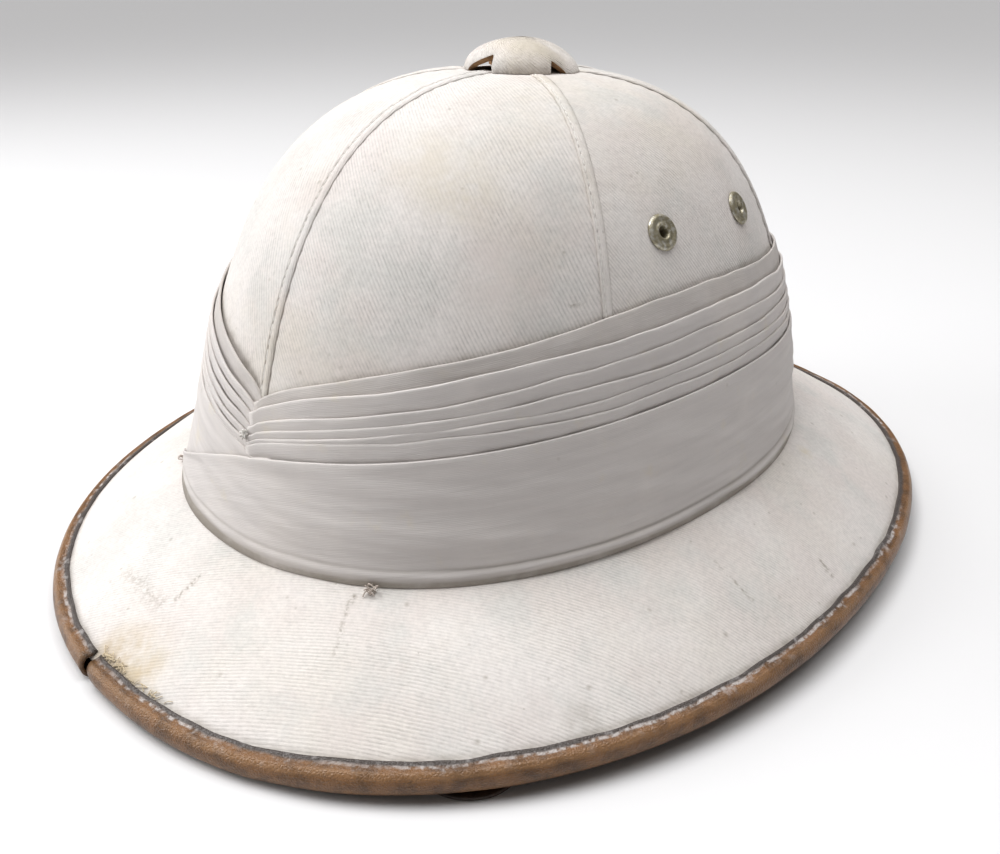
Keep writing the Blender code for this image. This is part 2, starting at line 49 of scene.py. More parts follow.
CROWN_HEIGHT = 0.1193
BELL_FRONT = 0.0125
BELL_REAR = 0.0089
BELL_SIDE = 0.0084
FRONT_DIP = 0.0082
PLAN_POWER = 2.08
RISE_POWER = 2.61
ROUND_POWER = 2.82
RIM_FRONT = 0.1682
RIM_REAR = 0.1736
RIM_SIDE = 0.1378
RIM_PLAN_POWER = 2.15
RIM_ARCH = 0.0042
RIM_ARCH_POWER = 0.8
RIM_REST_ANGLE = math.radians(17)
BRIM_BULGE = 0.0020
FOOT_HEIGHT = 0.0372
LEAN = math.radians(1.1)
CORK = 0.0030
CLOTH = 0.0010
GAP = 0.0003
PLATE = CORK + GAP + CLOTH
ROLL_RADIUS = 0.0044
ROLL_FLAT = math.radians(15)
VENT_HOLE_RADIUS = 0.0080
ROLL_REST = ROLL_RADIUS * math.cos(ROLL_FLAT)
CENTRE = (RIM_REAR - RIM_FRONT) / 2 * math.cos(LEAN) + ROLL_REST * math.sin(LEAN)
STAND = (
    Matrix.Translation((0, -CENTRE, 0))
    @ Matrix.Rotation(-LEAN, 4, "X")
    @ Matrix.Translation((0, 0, FOOT_HEIGHT))
)
ROUND = 2 * math.pi
SHELL_COLUMNS = 180
EYELET_MIDDLE = 88
EYELET_SPREAD = 16
EYELET_HEIGHT = 0.0815
BORE_RADIUS = 0.0030
EYELETS = {
    "eyelet_front_left": math.radians(EYELET_MIDDLE - EYELET_SPREAD),
    "eyelet_rear_left": math.radians(EYELET_MIDDLE + EYELET_SPREAD),
    "eyelet_front_right": -math.radians(EYELET_MIDDLE - EYELET_SPREAD),
    "eyelet_rear_right": -math.radians(EYELET_MIDDLE + EYELET_SPREAD),
}


def oval(azimuth, side, front, rear, power):
    """Radius of an egg-shaped outline in the direction of the azimuth."""
    length = front if math.cos(azimuth) > 0 else rear
    across = abs(math.sin(azimuth)) / side
    along = abs(math.cos(azimuth)) / length
    return (across**power + along**power) ** (-1 / power)


def crown_line(azimuth, share):
    """Radius and height of the crown's cloth at a share of its height."""
    lift = 1 - share
    bell = 1 - lift**2
    radius = oval(
        azimuth,
        CROWN_SIDE - BELL_SIDE * bell,
        CROWN_FRONT - BELL_FRONT * bell,
        CROWN_REAR - BELL_REAR * bell,
        PLAN_POWER,
    )
    roundness = max(1 - share**RISE_POWER, 0) ** (1 / ROUND_POWER)
    dip = FRONT_DIP * max(math.cos(azimuth), 0) ** 2 * lift**2
    return Vector((radius * roundness, CROWN_HEIGHT * share - dip))


def normal_of(tangent):
    """Outward normal of a line that runs down and outwards."""
    return Vector((-tangent[1], tangent[0])).normalized()


def crown_slope(azimuth, share):
    step = 0.0005
    lower = crown_line(azimuth, max(share - step, 0))
    return (lower - crown_line(azimuth, min(share + step, 1))).normalized()


def crown_offset(azimuth, share, lift):
    return crown_line(azimuth, share) + normal_of(crown_slope(azimuth, share)) * lift


def rim_middle(azimuth):
    """The middle of the rolled edge."""
    radius = oval(azimuth, RIM_SIDE, RIM_FRONT, RIM_REAR, RIM_PLAN_POWER)
    rest = math.sin(RIM_REST_ANGLE)
    share = max(abs(math.sin(azimuth)) - rest, 0) / (1 - rest)
    slope = -math.atan(math.cos(azimuth) * math.tan(LEAN))
    height = ROLL_REST / math.cos(slope) + RIM_ARCH * share**RIM_ARCH_POWER
    return Vector((radius, radius * math.tan(slope) - FOOT_HEIGHT + height))


@lru_cache(maxsize=None)
def brim_ends(azimuth):
    """The brim's upper line: its foot, its edge over the roll's middle, and the normal there."""
    foot = crown_line(azimuth, 0)
    middle = rim_middle(azimuth)
    edge = middle
    for _ in range(4):
        chord = edge - foot
        normal = normal_of(chord - normal_of(chord) * math.pi * BRIM_BULGE)
        edge = middle + normal * PLATE / 2
    return foot, edge, normal


def brim_offset(azimuth, share, lift):
    """A point at a share of the brim's width, lifted off its cloth."""
    foot, edge, _ = brim_ends(azimuth)
    chord = edge - foot
    up = normal_of(chord)
    line = foot + chord * share + up * BRIM_BULGE * math.sin(math.pi * share)
    slope = chord + up * BRIM_BULGE * math.pi * math.cos(math.pi * share)
    return line + normal_of(slope) * lift


@lru_cache(maxsize=None)
def foot_corner(azimuth, crown_lift, brim_lift):
    """Where the lifted wall meets the lifted brim at the crown's foot."""
    foot, _, _ = brim_ends(azimuth)
    down = crown_slope(azimuth, 0)
    out = (brim_offset(azimuth, 0.02, 0) - foot).normalized()
    start = foot + normal_of(down) * crown_lift
    delta = foot + normal_of(out) * brim_lift - start
    along = (delta[0] * out[1] - delta[1] * out[0]) / (down[0] * out[1] - down[1] * out[0])
    return start + down * along


def place(azimuth, point):
    return Vector((math.sin(azimuth) * point[0], -math.cos(azimuth) * point[0], point[1]))


def crown_rows(azimuth, radius, bottom, count):
    """Shares of height from where the top has this radius down to the bottom share."""
    top = oval(
        azimuth, CROWN_SIDE - BELL_SIDE, CROWN_FRONT - BELL_FRONT, CROWN_REAR - BELL_REAR, PLAN_POWER
    )
    first = math.asin((1 - (radius / top) ** ROUND_POWER) ** 0.5)
    last = math.asin(bottom ** (RISE_POWER / 2))
    turns = [first + (last - first) * i / count for i in range(count + 1)]
    return [math.sin(turn) ** (2 / RISE_POWER) for turn in turns]


def turns_between(first, last, count):
    return [first + (last - first) * i / count for i in range(count + 1)]


def lay_grid(columns):
    """A grid laid over columns of spots, from left to right and top to bottom. A spot is a place,
    its two measures in metres on the flat material, which become the UV map, and its soiling and painted shade."""
    across = len(columns) - 1
    down = len(columns[0]) - 1
    bm = bmesh.new()
    flat = bm.loops.layers.uv.new("cloth")
    soil_and_shade = bm.verts.layers.float.new("soil_and_shade")
    bmesh.ops.create_grid(bm, x_segments=across, y_segments=down, size=0.5)
    spots = []
    for vert in bm.verts:
        column = columns[round((vert.co.x + 0.5) * across)]
        spots.append(column[round((0.5 - vert.co.y) * down)])
        vert.co = spots[-1][0]
        vert[soil_and_shade] = spots[-1][3]
    bm.verts.index_update()
    for face in bm.faces:
        for loop in face.loops:
            loop[flat].uv = spots[loop.vert.index][1:3]
    return bm


def spots_down(places, across, soil_and_shade=None):
    """Spots for a column of places, measured down the material from the first one."""
    spots = []
    down = 0.0
    for i, point in enumerate(places):
        down += (point - places[i - 1]).length if i else 0.0
        spots.append((point, across, down, soil_and_shade[i] if soil_and_shade else 0.0))
    return spots


def close_seam(bm):
    """Joins the edges of a grid that meet, and turns its faces outwards."""
    bmesh.ops.remove_doubles(bm, verts=bm.verts, dist=1e-6)
    bmesh.ops.recalc_face_normals(bm, faces=bm.faces)


def fit_piece(name, bm, material, nodes=(), wall=0.0, stand=True):
    """Makes a bmesh a piece of the helmet, with the thickness of its wall inwards if it is a skin."""
    if stand:
        bm.transform(STAND)
    mesh = bpy.data.meshes.new(name)
    bm.to_mesh(mesh)
    bm.free()
    mesh.shade_smooth()
    mesh.materials.append(material)
    piece = bpy.data.objects.new(name, mesh)
    bpy.context.scene.collection.objects.link(piece)
    if wall:
        thickness = piece.modifiers.new("thickness", "SOLIDIFY")
        thickness.thickness = wall
        thickness.offset = -1
    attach(piece, "root")
    if nodes:
        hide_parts(*nodes)
    return piece


def add_node(tree, kind, sockets=None, **settings):
    """A shader node with its settings, and each input set to a value or linked from an output."""
    node = tree.nodes.new("ShaderNode" + kind)
    for name, value in settings.items():
        setattr(node, name, value)
    for name, value in (sockets or {}).items():
        if isinstance(value, bpy.types.NodeSocket):
            tree.links.new(value, node.inputs[name])
        else:
            node.inputs[name].default_value = value
    return node


def calculate(tree, operation, *values):
    inputs = dict(enumerate(values))
    return add_node(tree, "Math", inputs, operation=operation).outputs[0]


def blend_colours(tree, mask, first, second, mode="MIX"):
    node = add_node(tree, "Mix", {0: mask, 6: first, 7: second}, data_type="RGBA", blend_type=mode)
    return node.outputs[2]


def new_group(name, inputs, outputs):
    """An empty shader group; inputs and outputs are pairs of a name and FLOAT, VECTOR or COLOR."""
    kinds = {"FLOAT": "NodeSocketFloat", "VECTOR": "NodeSocketVector", "COLOR": "NodeSocketColor"}
    group = bpy.data.node_groups.new(name, "ShaderNodeTree")
    for label, kind in inputs:
        group.interface.new_socket(label, in_out="INPUT", socket_type=kinds[kind])
    for label, kind in outputs:
        group.interface.new_socket(label, in_out="OUTPUT", socket_type=kinds[kind])
    start = group.nodes.new("NodeGroupInput")
    end = group.nodes.new("NodeGroupOutput")
    return group, start.outputs, end.inputs


def use_group(tree, group, sockets):
    node = add_node(tree, "Group")
    node.node_tree = group
    for name, value in sockets.items():
        if isinstance(value, bpy.types.NodeSocket):
            tree.links.new(value, node.inputs[name])
        else:
            node.inputs[name].default_value = value
    return node.outputs


def make_patches():
    """Soft irregular patches: Size in metres, Cover from 0 to 1, Edge the softness of their border."""
    group, given, made = new_group(
        "patches",
        [("Vector", "VECTOR"), ("Size", "FLOAT"), ("Cover", "FLOAT"), ("Edge", "FLOAT")],
        [("Mask", "FLOAT")],
    )
    scale = calculate(group, "DIVIDE", 1.0, given["Size"])
    cloud = add_node(
        group, "TexNoise", {"Vector": given["Vector"], "Scale": scale, "Detail": 5.0, "Roughness": 0.6}
    )
    middle = calculate(group, "SUBTRACT", 1.0, given["Cover"])
    mask = add_node(
        group,
        "MapRange",
        {
            "Value": cloud.outputs["Fac"],
            "From Min": calculate(group, "SUBTRACT", middle, given["Edge"]),
            "From Max": calculate(group, "ADD", middle, given["Edge"]),
        },
        interpolation_type="SMOOTHSTEP",
    )
    group.links.new(mask.outputs["Result"], made["Mask"])
    return group


PATCHES = make_patches()


def start_material(name):
    material = bpy.data.materials.new(name)
    material.use_nodes = True
    return material, material.node_tree, material.node_tree.nodes["Principled BSDF"]


def patches(tree, vector, size, cover, edge):
    return use_group(
        tree, PATCHES, {"Vector": vector, "Size": size, "Cover": cover, "Edge": edge}
    )["Mask"]


def make_cork_material():
    """Pressed cork: pale grains a few millimetres wide with dark gaps between them."""
    material, tree, shader = start_material("cork")
    where = add_node(tree, "TexCoord").outputs["Object"]
    grains = add_node(tree, "TexVoronoi", {"Vector": where, "Scale": 320.0})
    gaps = add_node(tree, "TexVoronoi", {"Vector": where, "Scale": 320.0}, feature="DISTANCE_TO_EDGE")
    tone = add_node(tree, "SeparateColor", {"Color": grains.outputs["Color"]}).outputs[0]
    cork = blend_colours(tree, tone, (0.30, 0.19, 0.105, 1), (0.50, 0.35, 0.21, 1))
    gap = add_node(
        tree, "MapRange", {"Value": gaps.outputs["Distance"], "From Max": 0.12, "To Min": 1.0, "To Max": 0.0}
    ).outputs["Result"]
    cork = blend_colours(tree, gap, cork, (0.16, 0.095, 0.05, 1))
    tree.links.new(cork, shader.inputs["Base Color"])
    bump = add_node(
        tree, "Bump", {"Height": gap, "Strength": 0.5, "Distance": 0.0006}, invert=True
    )
    tree.links.new(bump.outputs["Normal"], shader.inputs["Normal"])
    shader.inputs["Roughness"].default_value = 0.9
    return material


def crown_spot(azimuth, share, lift):
    """A place on the crown's wall, lifted off it and off its small dents."""
    point = place(azimuth, crown_offset(azimuth, share, lift))
    dent = noise.noise(point * 22) * 0.00045 + noise.noise(point * 75) * 0.00014
    return point + Vector((math.sin(azimuth), -math.cos(azimuth), 0.5)).normalized() * dent


def wall_frame(azimuth, share):
    """Point, outward normal and sideways direction of the crown's wall."""
    step = 0.002
    point = crown_spot(azimuth, share, 0)
    ahead = place(azimuth + step, crown_line(azimuth + step, share))
    behind = place(azimuth - step, crown_line(azimuth - step, share))
    sideways = (ahead - behind).normalized()
    flat = normal_of(crown_slope(azimuth, share))
    upward = place(azimuth, Vector((-flat[1], flat[0])))
    return point, sideways.cross(upward).normalized(), sideways


def bore_for_eyelets(bm):
    """Takes the faces round each eyelet's barrel away, and gives back the loose edges there."""
    rims = []
    for azimuth in EYELETS.values():
        centre, normal, _ = wall_frame(azimuth, EYELET_HEIGHT / CROWN_HEIGHT)
        near = []
        for face in bm.faces:
            reach = face.calc_center_median() - centre
            if reach.length < 3 * BORE_RADIUS and reach.cross(normal).length < BORE_RADIUS:
                near.append(face)
        around = {edge for face in near for edge in face.edges}
        bmesh.ops.delete(bm, geom=near, context="FACES")
        rims.append([edge for edge in around if edge.is_valid and edge.is_boundary])
    return rims


def make_cork_shell():
    outside = -(CLOTH + GAP)
    inside = outside - CORK
    columns = []
    for azimuth in turns_between(0, ROUND, SHELL_COLUMNS):
        lines = []
        for lift in (outside, inside):
            shares = crown_rows(azimuth, VENT_HOLE_RADIUS, 0.02, 44)
            line = [crown_offset(azimuth, share, lift) for share in shares]
            line.append(foot_corner(azimuth, lift, lift))
            line += [brim_offset(azimuth, i / 16, lift) for i in range(1, 17)]
            lines.append([place(azimuth, point) for point in line])
        loop = lines[0] + lines[1][::-1]
        columns.append(spots_down(loop + [loop[0]], azimuth * CROWN_SIDE))
    bm = lay_grid(columns)
    close_seam(bm)
    for rim in bore_for_eyelets(bm):
        bmesh.ops.bridge_loops(bm, edges=rim)
    return fit_piece("cork_shell_moulded", bm, make_cork_material(), ("cork_shell",))


make_cork_shell()


# Crown gores. Six tapered panels of white cotton drill are glued over the cork, edge to edge, and
# whitened again and again with pipeclay. The clay yellows, cracks and rubs off, and dirt gathers
# along the puggaree, where a dark line of painted shade is added too. The drill's diagonal wales show through it.
SEAM_AZIMUTHS = (0, 56, 123, 180, 237, 304)
GORES = ("front_left", "side_left", "rear_left", "rear_right", "side_right", "front_right")
GORE_COLUMNS = 44
GORE_ROWS = 84
DRILL_PITCH = 0.00125
BRIM_DRILL_PITCH = 0.00085
WHITE = (0.79, 0.752, 0.725, 1)
YELLOWED = (0.66, 0.60, 0.50, 1)
PINKISH = (0.72, 0.655, 0.625, 1)
COOL_GREY = (0.63, 0.635, 0.61, 1)
# Dark grime colour. Through the soiling attribute it also paints shade into gaps and corners.
GRIME_AND_SHADE = (0.27, 0.235, 0.19, 1)
FOLDS_FRONT = 0.0395
FOLDS_SIDE = 0.0660
V_POWER_LEFT = 0.70
V_POWER_RIGHT = 0.55
REAR_DIP_SHARE = 0.30


def v_share(azimuth):
    """How far the puggaree has risen from the V at the front towards its height at the sides."""
    turn = math.remainder(azimuth, ROUND)
    if math.cos(turn) < 0:
        return 1 - REAR_DIP_SHARE * math.cos(turn) ** 2
    power = V_POWER_LEFT if turn > 0 else V_POWER_RIGHT
    return abs(math.sin(turn)) ** power


def fold_top(azimuth):
    return FOLDS_FRONT + (FOLDS_SIDE - FOLDS_FRONT) * v_share(azimuth)


def make_twill():
    """Diagonal wales: Ridge is 1 on their crests; Pitch is in metres, Slant the angle of the lines."""
    group, given, made = new_group(
        "twill",
        [("Cloth", "VECTOR"), ("Pitch", "FLOAT"), ("Slant", "FLOAT")],
        [("Ridge", "FLOAT")],
    )
    sway = add_node(group, "TexNoise", {"Vector": given["Cloth"], "Scale": 60.0, "Detail": 2.0})
    sides = add_node(group, "SeparateXYZ", {"Vector": given["Cloth"]}).outputs
    sine = calculate(group, "SINE", given["Slant"])
    cosine = calculate(group, "COSINE", given["Slant"])
    across = calculate(
        group, "SUBTRACT",
        calculate(group, "MULTIPLY", sides["Y"], cosine), calculate(group, "MULTIPLY", sides["X"], sine),
    )
    along = calculate(
        group, "ADD",
        calculate(group, "MULTIPLY", sides["X"], cosine), calculate(group, "MULTIPLY", sides["Y"], sine),
    )
    count = calculate(group, "DIVIDE", across, given["Pitch"])
    count = calculate(group, "MULTIPLY_ADD", sway.outputs["Fac"], 1.3, count)
    wale = calculate(group, "SINE", calculate(group, "MULTIPLY", count, ROUND))
    turned = add_node(group, "CombineXYZ", {"X": along, "Y": across}).outputs[0]
    dashed = add_node(group, "Mapping", {"Vector": turned, "Scale": (450.0, 1500.0, 1.0)}).outputs[0]
    dashes = add_node(group, "TexNoise", {"Vector": dashed, "Scale": 1.0, "Detail": 2.0})
    uneven = calculate(group, "MULTIPLY_ADD", dashes.outputs["Fac"], 2.4, -0.6)
    ridge = calculate(group, "MULTIPLY_ADD", calculate(group, "MULTIPLY", wale, uneven), 0.5, 0.5)
    group.links.new(ridge, made["Ridge"])
    return group


TWILL = make_twill()


def make_specks():
    """Sparse small dark specks; Size is their spacing in metres."""
    group, given, made = new_group(
        "specks", [("Vector", "VECTOR"), ("Size", "FLOAT"), ("Cover", "FLOAT")], [("Mask", "FLOAT")]
    )
    scale = calculate(group, "DIVIDE", 1.0, given["Size"])
    cells = add_node(group, "TexVoronoi", {"Vector": given["Vector"], "Scale": scale})
    chance = add_node(group, "SeparateColor", {"Color": cells.outputs["Color"]}).outputs
    chosen = calculate(group, "LESS_THAN", chance[0], given["Cover"])
    reach = calculate(group, "MULTIPLY_ADD", chance[1], 0.20, 0.06)
    inside = add_node(
        group,
        "MapRange",
        {"Value": cells.outputs["Distance"], "From Min": reach, "From Max": 0.0, "To Max": 1.0},
    )
    group.links.new(calculate(group, "MULTIPLY", inside.outputs["Result"], chosen), made["Mask"])
    return group


SPECKS = make_specks()


def make_scuff():
    """A broken scratch between two places; Width is in metres."""
    group, given, made = new_group(
        "scuff",
        [("Vector", "VECTOR"), ("From", "VECTOR"), ("To", "VECTOR"), ("Width", "FLOAT")],
        [("Mask", "FLOAT")],
    )
    bend = add_node(group, "TexNoise", {"Vector": given["Vector"], "Scale": 140.0, "Detail": 3.0})
    shift = calculate(group, "MULTIPLY_ADD", bend.outputs["Fac"], 0.004, -0.002)
    shifted = add_node(group, "VectorMath", {0: given["Vector"], 1: shift}, operation="ADD").outputs[0]
    line = add_node(group, "VectorMath", {0: given["To"], 1: given["From"]}, operation="SUBTRACT")
    reach = add_node(group, "VectorMath", {0: shifted, 1: given["From"]}, operation="SUBTRACT")
    square = add_node(
        group, "VectorMath", {0: line.outputs[0], 1: line.outputs[0]}, operation="DOT_PRODUCT"
    )
    along = add_node(
        group, "VectorMath", {0: reach.outputs[0], 1: line.outputs[0]}, operation="DOT_PRODUCT"
    )
    share = calculate(group, "DIVIDE", along.outputs["Value"], square.outputs["Value"])
    share = add_node(group, "Clamp", {"Value": share}).outputs[0]
    nearest = add_node(
        group, "VectorMath", {0: line.outputs[0], "Scale": share}, operation="SCALE"
    )
    away = add_node(
        group, "VectorMath", {0: reach.outputs[0], 1: nearest.outputs[0]}, operation="DISTANCE"
    )
    near = add_node(
        group,
        "MapRange",
        {"Value": away.outputs["Value"], "From Min": given["Width"], "From Max": 0.0, "To Max": 1.0},
    )
    grain = add_node(group, "TexNoise", {"Vector": given["Vector"], "Scale": 900.0, "Detail": 3.0})
    broken = add_node(
        group, "MapRange", {"Value": grain.outputs["Fac"], "From Min": 0.40, "From Max": 0.62}
    )
    mask = calculate(group, "MULTIPLY", near.outputs["Result"], broken.outputs["Result"])
    group.links.new(mask, made["Mask"])
    return group


SCUFF = make_scuff()


def make_whitened_cloth(
    name, pitch, slant, stain=0.5, depth=0.00011, groove=0.76, specks=0.10, scuffs=(), smudges=()
):
    """Pipeclayed cotton. scuffs are (from, to, width, strength), smudges (middle, radius, colour)."""
    material, tree, shader = start_material(name)
    where = add_node(tree, "TexCoord").outputs["Object"]
    cloth = add_node(tree, "UVMap", uv_map="cloth").outputs["UV"]
    soil_and_shade = add_node(tree, "Attribute", attribute_name="soil_and_shade").outputs["Fac"]
    ridge = use_group(tree, TWILL, {"Cloth": cloth, "Pitch": pitch, "Slant": slant})["Ridge"]

    worn = patches(tree, where, 0.020, 0.50, 0.16)
    shown = calculate(tree, "MULTIPLY_ADD", worn, 0.55, 0.45)
    yellow = calculate(tree, "MULTIPLY", stain, patches(tree, where, 0.055, 0.44, 0.14))
    colour = blend_colours(tree, yellow, WHITE, YELLOWED)
    moved = add_node(tree, "VectorMath", {0: where, 1: (0.31, 0.17, 0.53)}, operation="ADD").outputs[0]
    pink = calculate(tree, "MULTIPLY", 0.50, patches(tree, moved, 0.030, 0.46, 0.10))
    colour = blend_colours(tree, pink, colour, PINKISH)
    moved = add_node(tree, "VectorMath", {0: where, 1: (0.91, 0.37, 0.11)}, operation="ADD").outputs[0]
    cool = calculate(tree, "MULTIPLY", 0.45, patches(tree, moved, 0.024, 0.42, 0.10))
    colour = blend_colours(tree, cool, colour, COOL_GREY)
    # The grooves between the wales are painted darker where the clay is worn: painted shade between the wales.
    lines = add_node(
        tree, "MapRange", {"Value": ridge, "From Min": 0.0, "From Max": 0.60, "To Min": groove, "To Max": 1.0}
    ).outputs["Result"]
    lines = blend_colours(tree, shown, (1, 1, 1, 1), lines)
    colour = blend_colours(tree, 1.0, colour, lines, "MULTIPLY")
    lint = add_node(tree, "TexNoise", {"Vector": where, "Scale": 650.0, "Detail": 4.0, "Roughness": 0.7})
    lint = add_node(
        tree, "MapRange", {"Value": lint.outputs["Fac"], "From Min": 0.30, "From Max": 0.62, "To Min": 0.87}
    ).outputs["Result"]
    colour = blend_colours(tree, 1.0, colour, lint, "MULTIPLY")
    speck = use_group(tree, SPECKS, {"Vector": where, "Size": 0.0042, "Cover": specks})["Mask"]
    colour = blend_colours(tree, calculate(tree, "MULTIPLY", speck, 0.55), colour, GRIME_AND_SHADE)
    for middle, radius, tint, strength in smudges:
        away = add_node(tree, "VectorMath", {0: where, 1: middle}, operation="DISTANCE").outputs["Value"]
        near = add_node(
            tree, "MapRange", {"Value": away, "From Min": radius, "From Max": 0.0, "To Max": strength},
            interpolation_type="SMOOTHSTEP",
        ).outputs["Result"]
        near = calculate(tree, "MULTIPLY", near, patches(tree, where, radius / 2, 0.55, 0.2))
        colour = blend_colours(tree, near, colour, tint)
    for start, end, width, strength in scuffs:
        mark = use_group(tree, SCUFF, {"Vector": where, "From": start, "To": end, "Width": width})["Mask"]
        colour = blend_colours(tree, calculate(tree, "MULTIPLY", mark, strength), colour, GRIME_AND_SHADE)
    # Soiling attribute: real dirt along the seams, and painted shade in gaps and corners: by the leather lip, at
    # the crown's foot and above the puggaree.
    soil_and_shade_mask = calculate(tree, "MULTIPLY_ADD", patches(tree, where, 0.006, 0.50, 0.25), 0.7, 0.3)
    soil_and_shade_mask = calculate(tree, "MULTIPLY", soil_and_shade, soil_and_shade_mask)
    colour = blend_colours(tree, soil_and_shade_mask, colour, GRIME_AND_SHADE)
    tree.links.new(colour, shader.inputs["Base Color"])

    coat = add_node(tree, "TexNoise", {"Vector": where, "Scale": 420.0, "Detail": 6.0, "Roughness": 0.65})
    height = calculate(tree, "MULTIPLY", ridge, shown)
    height = calculate(tree, "MULTIPLY_ADD", coat.outputs["Fac"], 1.3, height)
    height = calculate(tree, "MULTIPLY_ADD", speck, -0.6, height)
    bump = add_node(tree, "Bump", {"Height": height, "Strength": 1.0, "Distance": depth})
    tree.links.new(bump.outputs["Normal"], shader.inputs["Normal"])
    shader.inputs["Roughness"].default_value = 0.88
    shader.inputs["Specular IOR Level"].default_value = 0.25
    return material


def make_gore(index, material):
    """A panel between two seams, puckered a little where the stitches pull it."""
    first = math.radians(SEAM_AZIMUTHS[index])
    last = math.radians((SEAM_AZIMUTHS + (360,))[index + 1])
    middle = (first + last) / 2
    columns = []
    for azimuth in turns_between(first, last, GORE_COLUMNS):
        shares = crown_rows(azimuth, VENT_HOLE_RADIUS, 0.01, GORE_ROWS)
        column = []
        down = 0.0
        for i, share in enumerate(shares):
            radius = crown_line(azimuth, share)[0]
            seam = min(azimuth - first, last - azimuth) * radius
            pucker = 0.00016 * math.exp(-seam / 0.005) * math.sin(ROUND * down / 0.0061 + index)
            point = crown_spot(azimuth, share, pucker)
            down += (point - column[-1][0]).length if i else 0.0
            above = share * CROWN_HEIGHT - fold_top(azimuth)
            # Darker just above the puggaree: painted shade under the top fold's edge, with some dirt. A little
            # real dirt along the seams.
            soil_and_shade = 0.55 * math.exp(-max(above, 0) / 0.0009) + 0.12 * math.exp(-seam / 0.0018)
            column.append((point, (azimuth - middle) * radius, down, min(soil_and_shade, 1)))
        columns.append(column)
    bm = lay_grid(columns)
    bore_for_eyelets(bm)
    name = GORES[index]
    return fit_piece(f"crown_cloth_{name}", bm, material, ("gore_" + name,), wall=0.0008)


CROWN_STAINS = (
    ((0.037, -0.070, 0.133), 0.016, YELLOWED, 0.75),
    ((0.026, -0.069, 0.140), 0.020, YELLOWED, 0.60),
    ((0.055, -0.073, 0.113), 0.018, PINKISH, 0.80),
    ((0.088, 0.015, 0.118), 0.016, YELLOWED, 0.50),
)
CROWN_CRACKS = (
    ((0.0241, -0.0389, 0.1524), (0.0300, -0.0440, 0.1499), 0.0007, 0.5),
    ((0.0683, -0.0601, 0.1052), (0.0790, -0.0480, 0.1060), 0.0012, 0.6),
)
crown_white = make_whitened_cloth(
    "crown_cotton_drill", DRILL_PITCH * 0.85, math.radians(58), scuffs=CROWN_CRACKS, smudges=CROWN_STAINS
)
for gore in range(len(GORES)):
    make_gore(gore, crown_white)


# Seam tapes. A folded strip of the same cotton is sewn over each seam between two gores. It stands
# up as a low welt, and one edge is drawn tight by a row of stitches that catch the light.
TAPE_WIDTH = 0.0044
TAPE_HEIGHT = 0.0008
TAPE_COLUMNS = 14
TAPE_ROWS = 110
CAP_RADIUS = 0.0185
STITCH_STEP = 0.0022
STITCH_LENGTH = 0.0021
STITCH_RADIUS = 0.00022
SEAMS = ("front", "front_left", "rear_left", "rear", "rear_right", "front_right")


def ramp(value, start, end):
    """A smooth step from 0 at start to 1 at end."""
    share = min(max((value - start) / (end - start), 0), 1)
    return share * share * (3 - 2 * share)


def welt_height(across):
    """The tape's section: a bead at its sewn edge, a stitched groove, and a flat that thins out."""
    bead = 0.80 * math.exp(-(((across + 0.68) / 0.17) ** 2))
    flat = 0.55 / (1 + math.exp(-(across + 0.35) / 0.05)) / (1 + math.exp((across - 0.72) / 0.10))
    groove = 0.25 * math.exp(-(((across + 0.42) / 0.08) ** 2))
    return TAPE_HEIGHT * (max(bead, flat) - groove * 0.4 + 0.06)


def seam_shares(index):
    azimuth = math.radians(SEAM_AZIMUTHS[index])
    crosses_arch = SEAM_AZIMUTHS[index] % 180 == 0
    start = CAP_RADIUS - 0.0055 if crosses_arch else CAP_RADIUS - 0.0006
    stop = (fold_top(azimuth) + 0.0002) / CROWN_HEIGHT
    return crown_rows(azimuth, start, stop, TAPE_ROWS)


def make_seam_tape(index, material, thread):
    azimuth = math.radians(SEAM_AZIMUTHS[index])
    frames = [wall_frame(azimuth, share) for share in seam_shares(index)]
    columns = []
    for across in turns_between(-1, 1, TAPE_COLUMNS):
        places = []
        for i, (point, normal, sideways) in enumerate(frames):
            wave = 1 + 0.16 * noise.noise(Vector((i / 6, index * 5.1, 0)))
            lift = welt_height(across) * wave * ramp(i, -1, 5) + 0.00015
            narrowing = 1 - 0.25 * i / TAPE_ROWS
            places.append(point + sideways * across * narrowing * TAPE_WIDTH / 2 + normal * lift)
        soil_and_shade = [0.30 if abs(across) > 0.8 else 0.04] * len(places)
        columns.append(spots_down(places, across * TAPE_WIDTH / 2, soil_and_shade))
    name = SEAMS[index]
    bm = lay_grid(columns)
    fit_piece(f"seam_tape_{name}", bm, material, ("seam_" + name,), wall=0.0007)

    bm = bmesh.new()
    travelled = 0.0
    for i in range(1, len(frames) - 1):
        step = frames[i][0] - frames[i - 1][0]
        travelled += step.length
        if travelled < STITCH_STEP:
            continue
        travelled -= STITCH_STEP
        point, normal, sideways = frames[i]
        narrowing = 1 - 0.25 * i / TAPE_ROWS
        along = step.normalized()
        centre = point + sideways * -0.46 * narrowing * TAPE_WIDTH / 2 + normal * TAPE_HEIGHT * 0.55
        axes = Matrix((sideways, along, normal)).transposed().to_4x4()
        shape = Matrix.Diagonal((STITCH_RADIUS, STITCH_LENGTH / 2, STITCH_RADIUS, 1))
        bmesh.ops.create_icosphere(bm, subdivisions=2, radius=1, matrix=Matrix.Translation(centre) @ axes @ shape)
    fit_piece(f"seam_stitches_{name}", bm, thread)


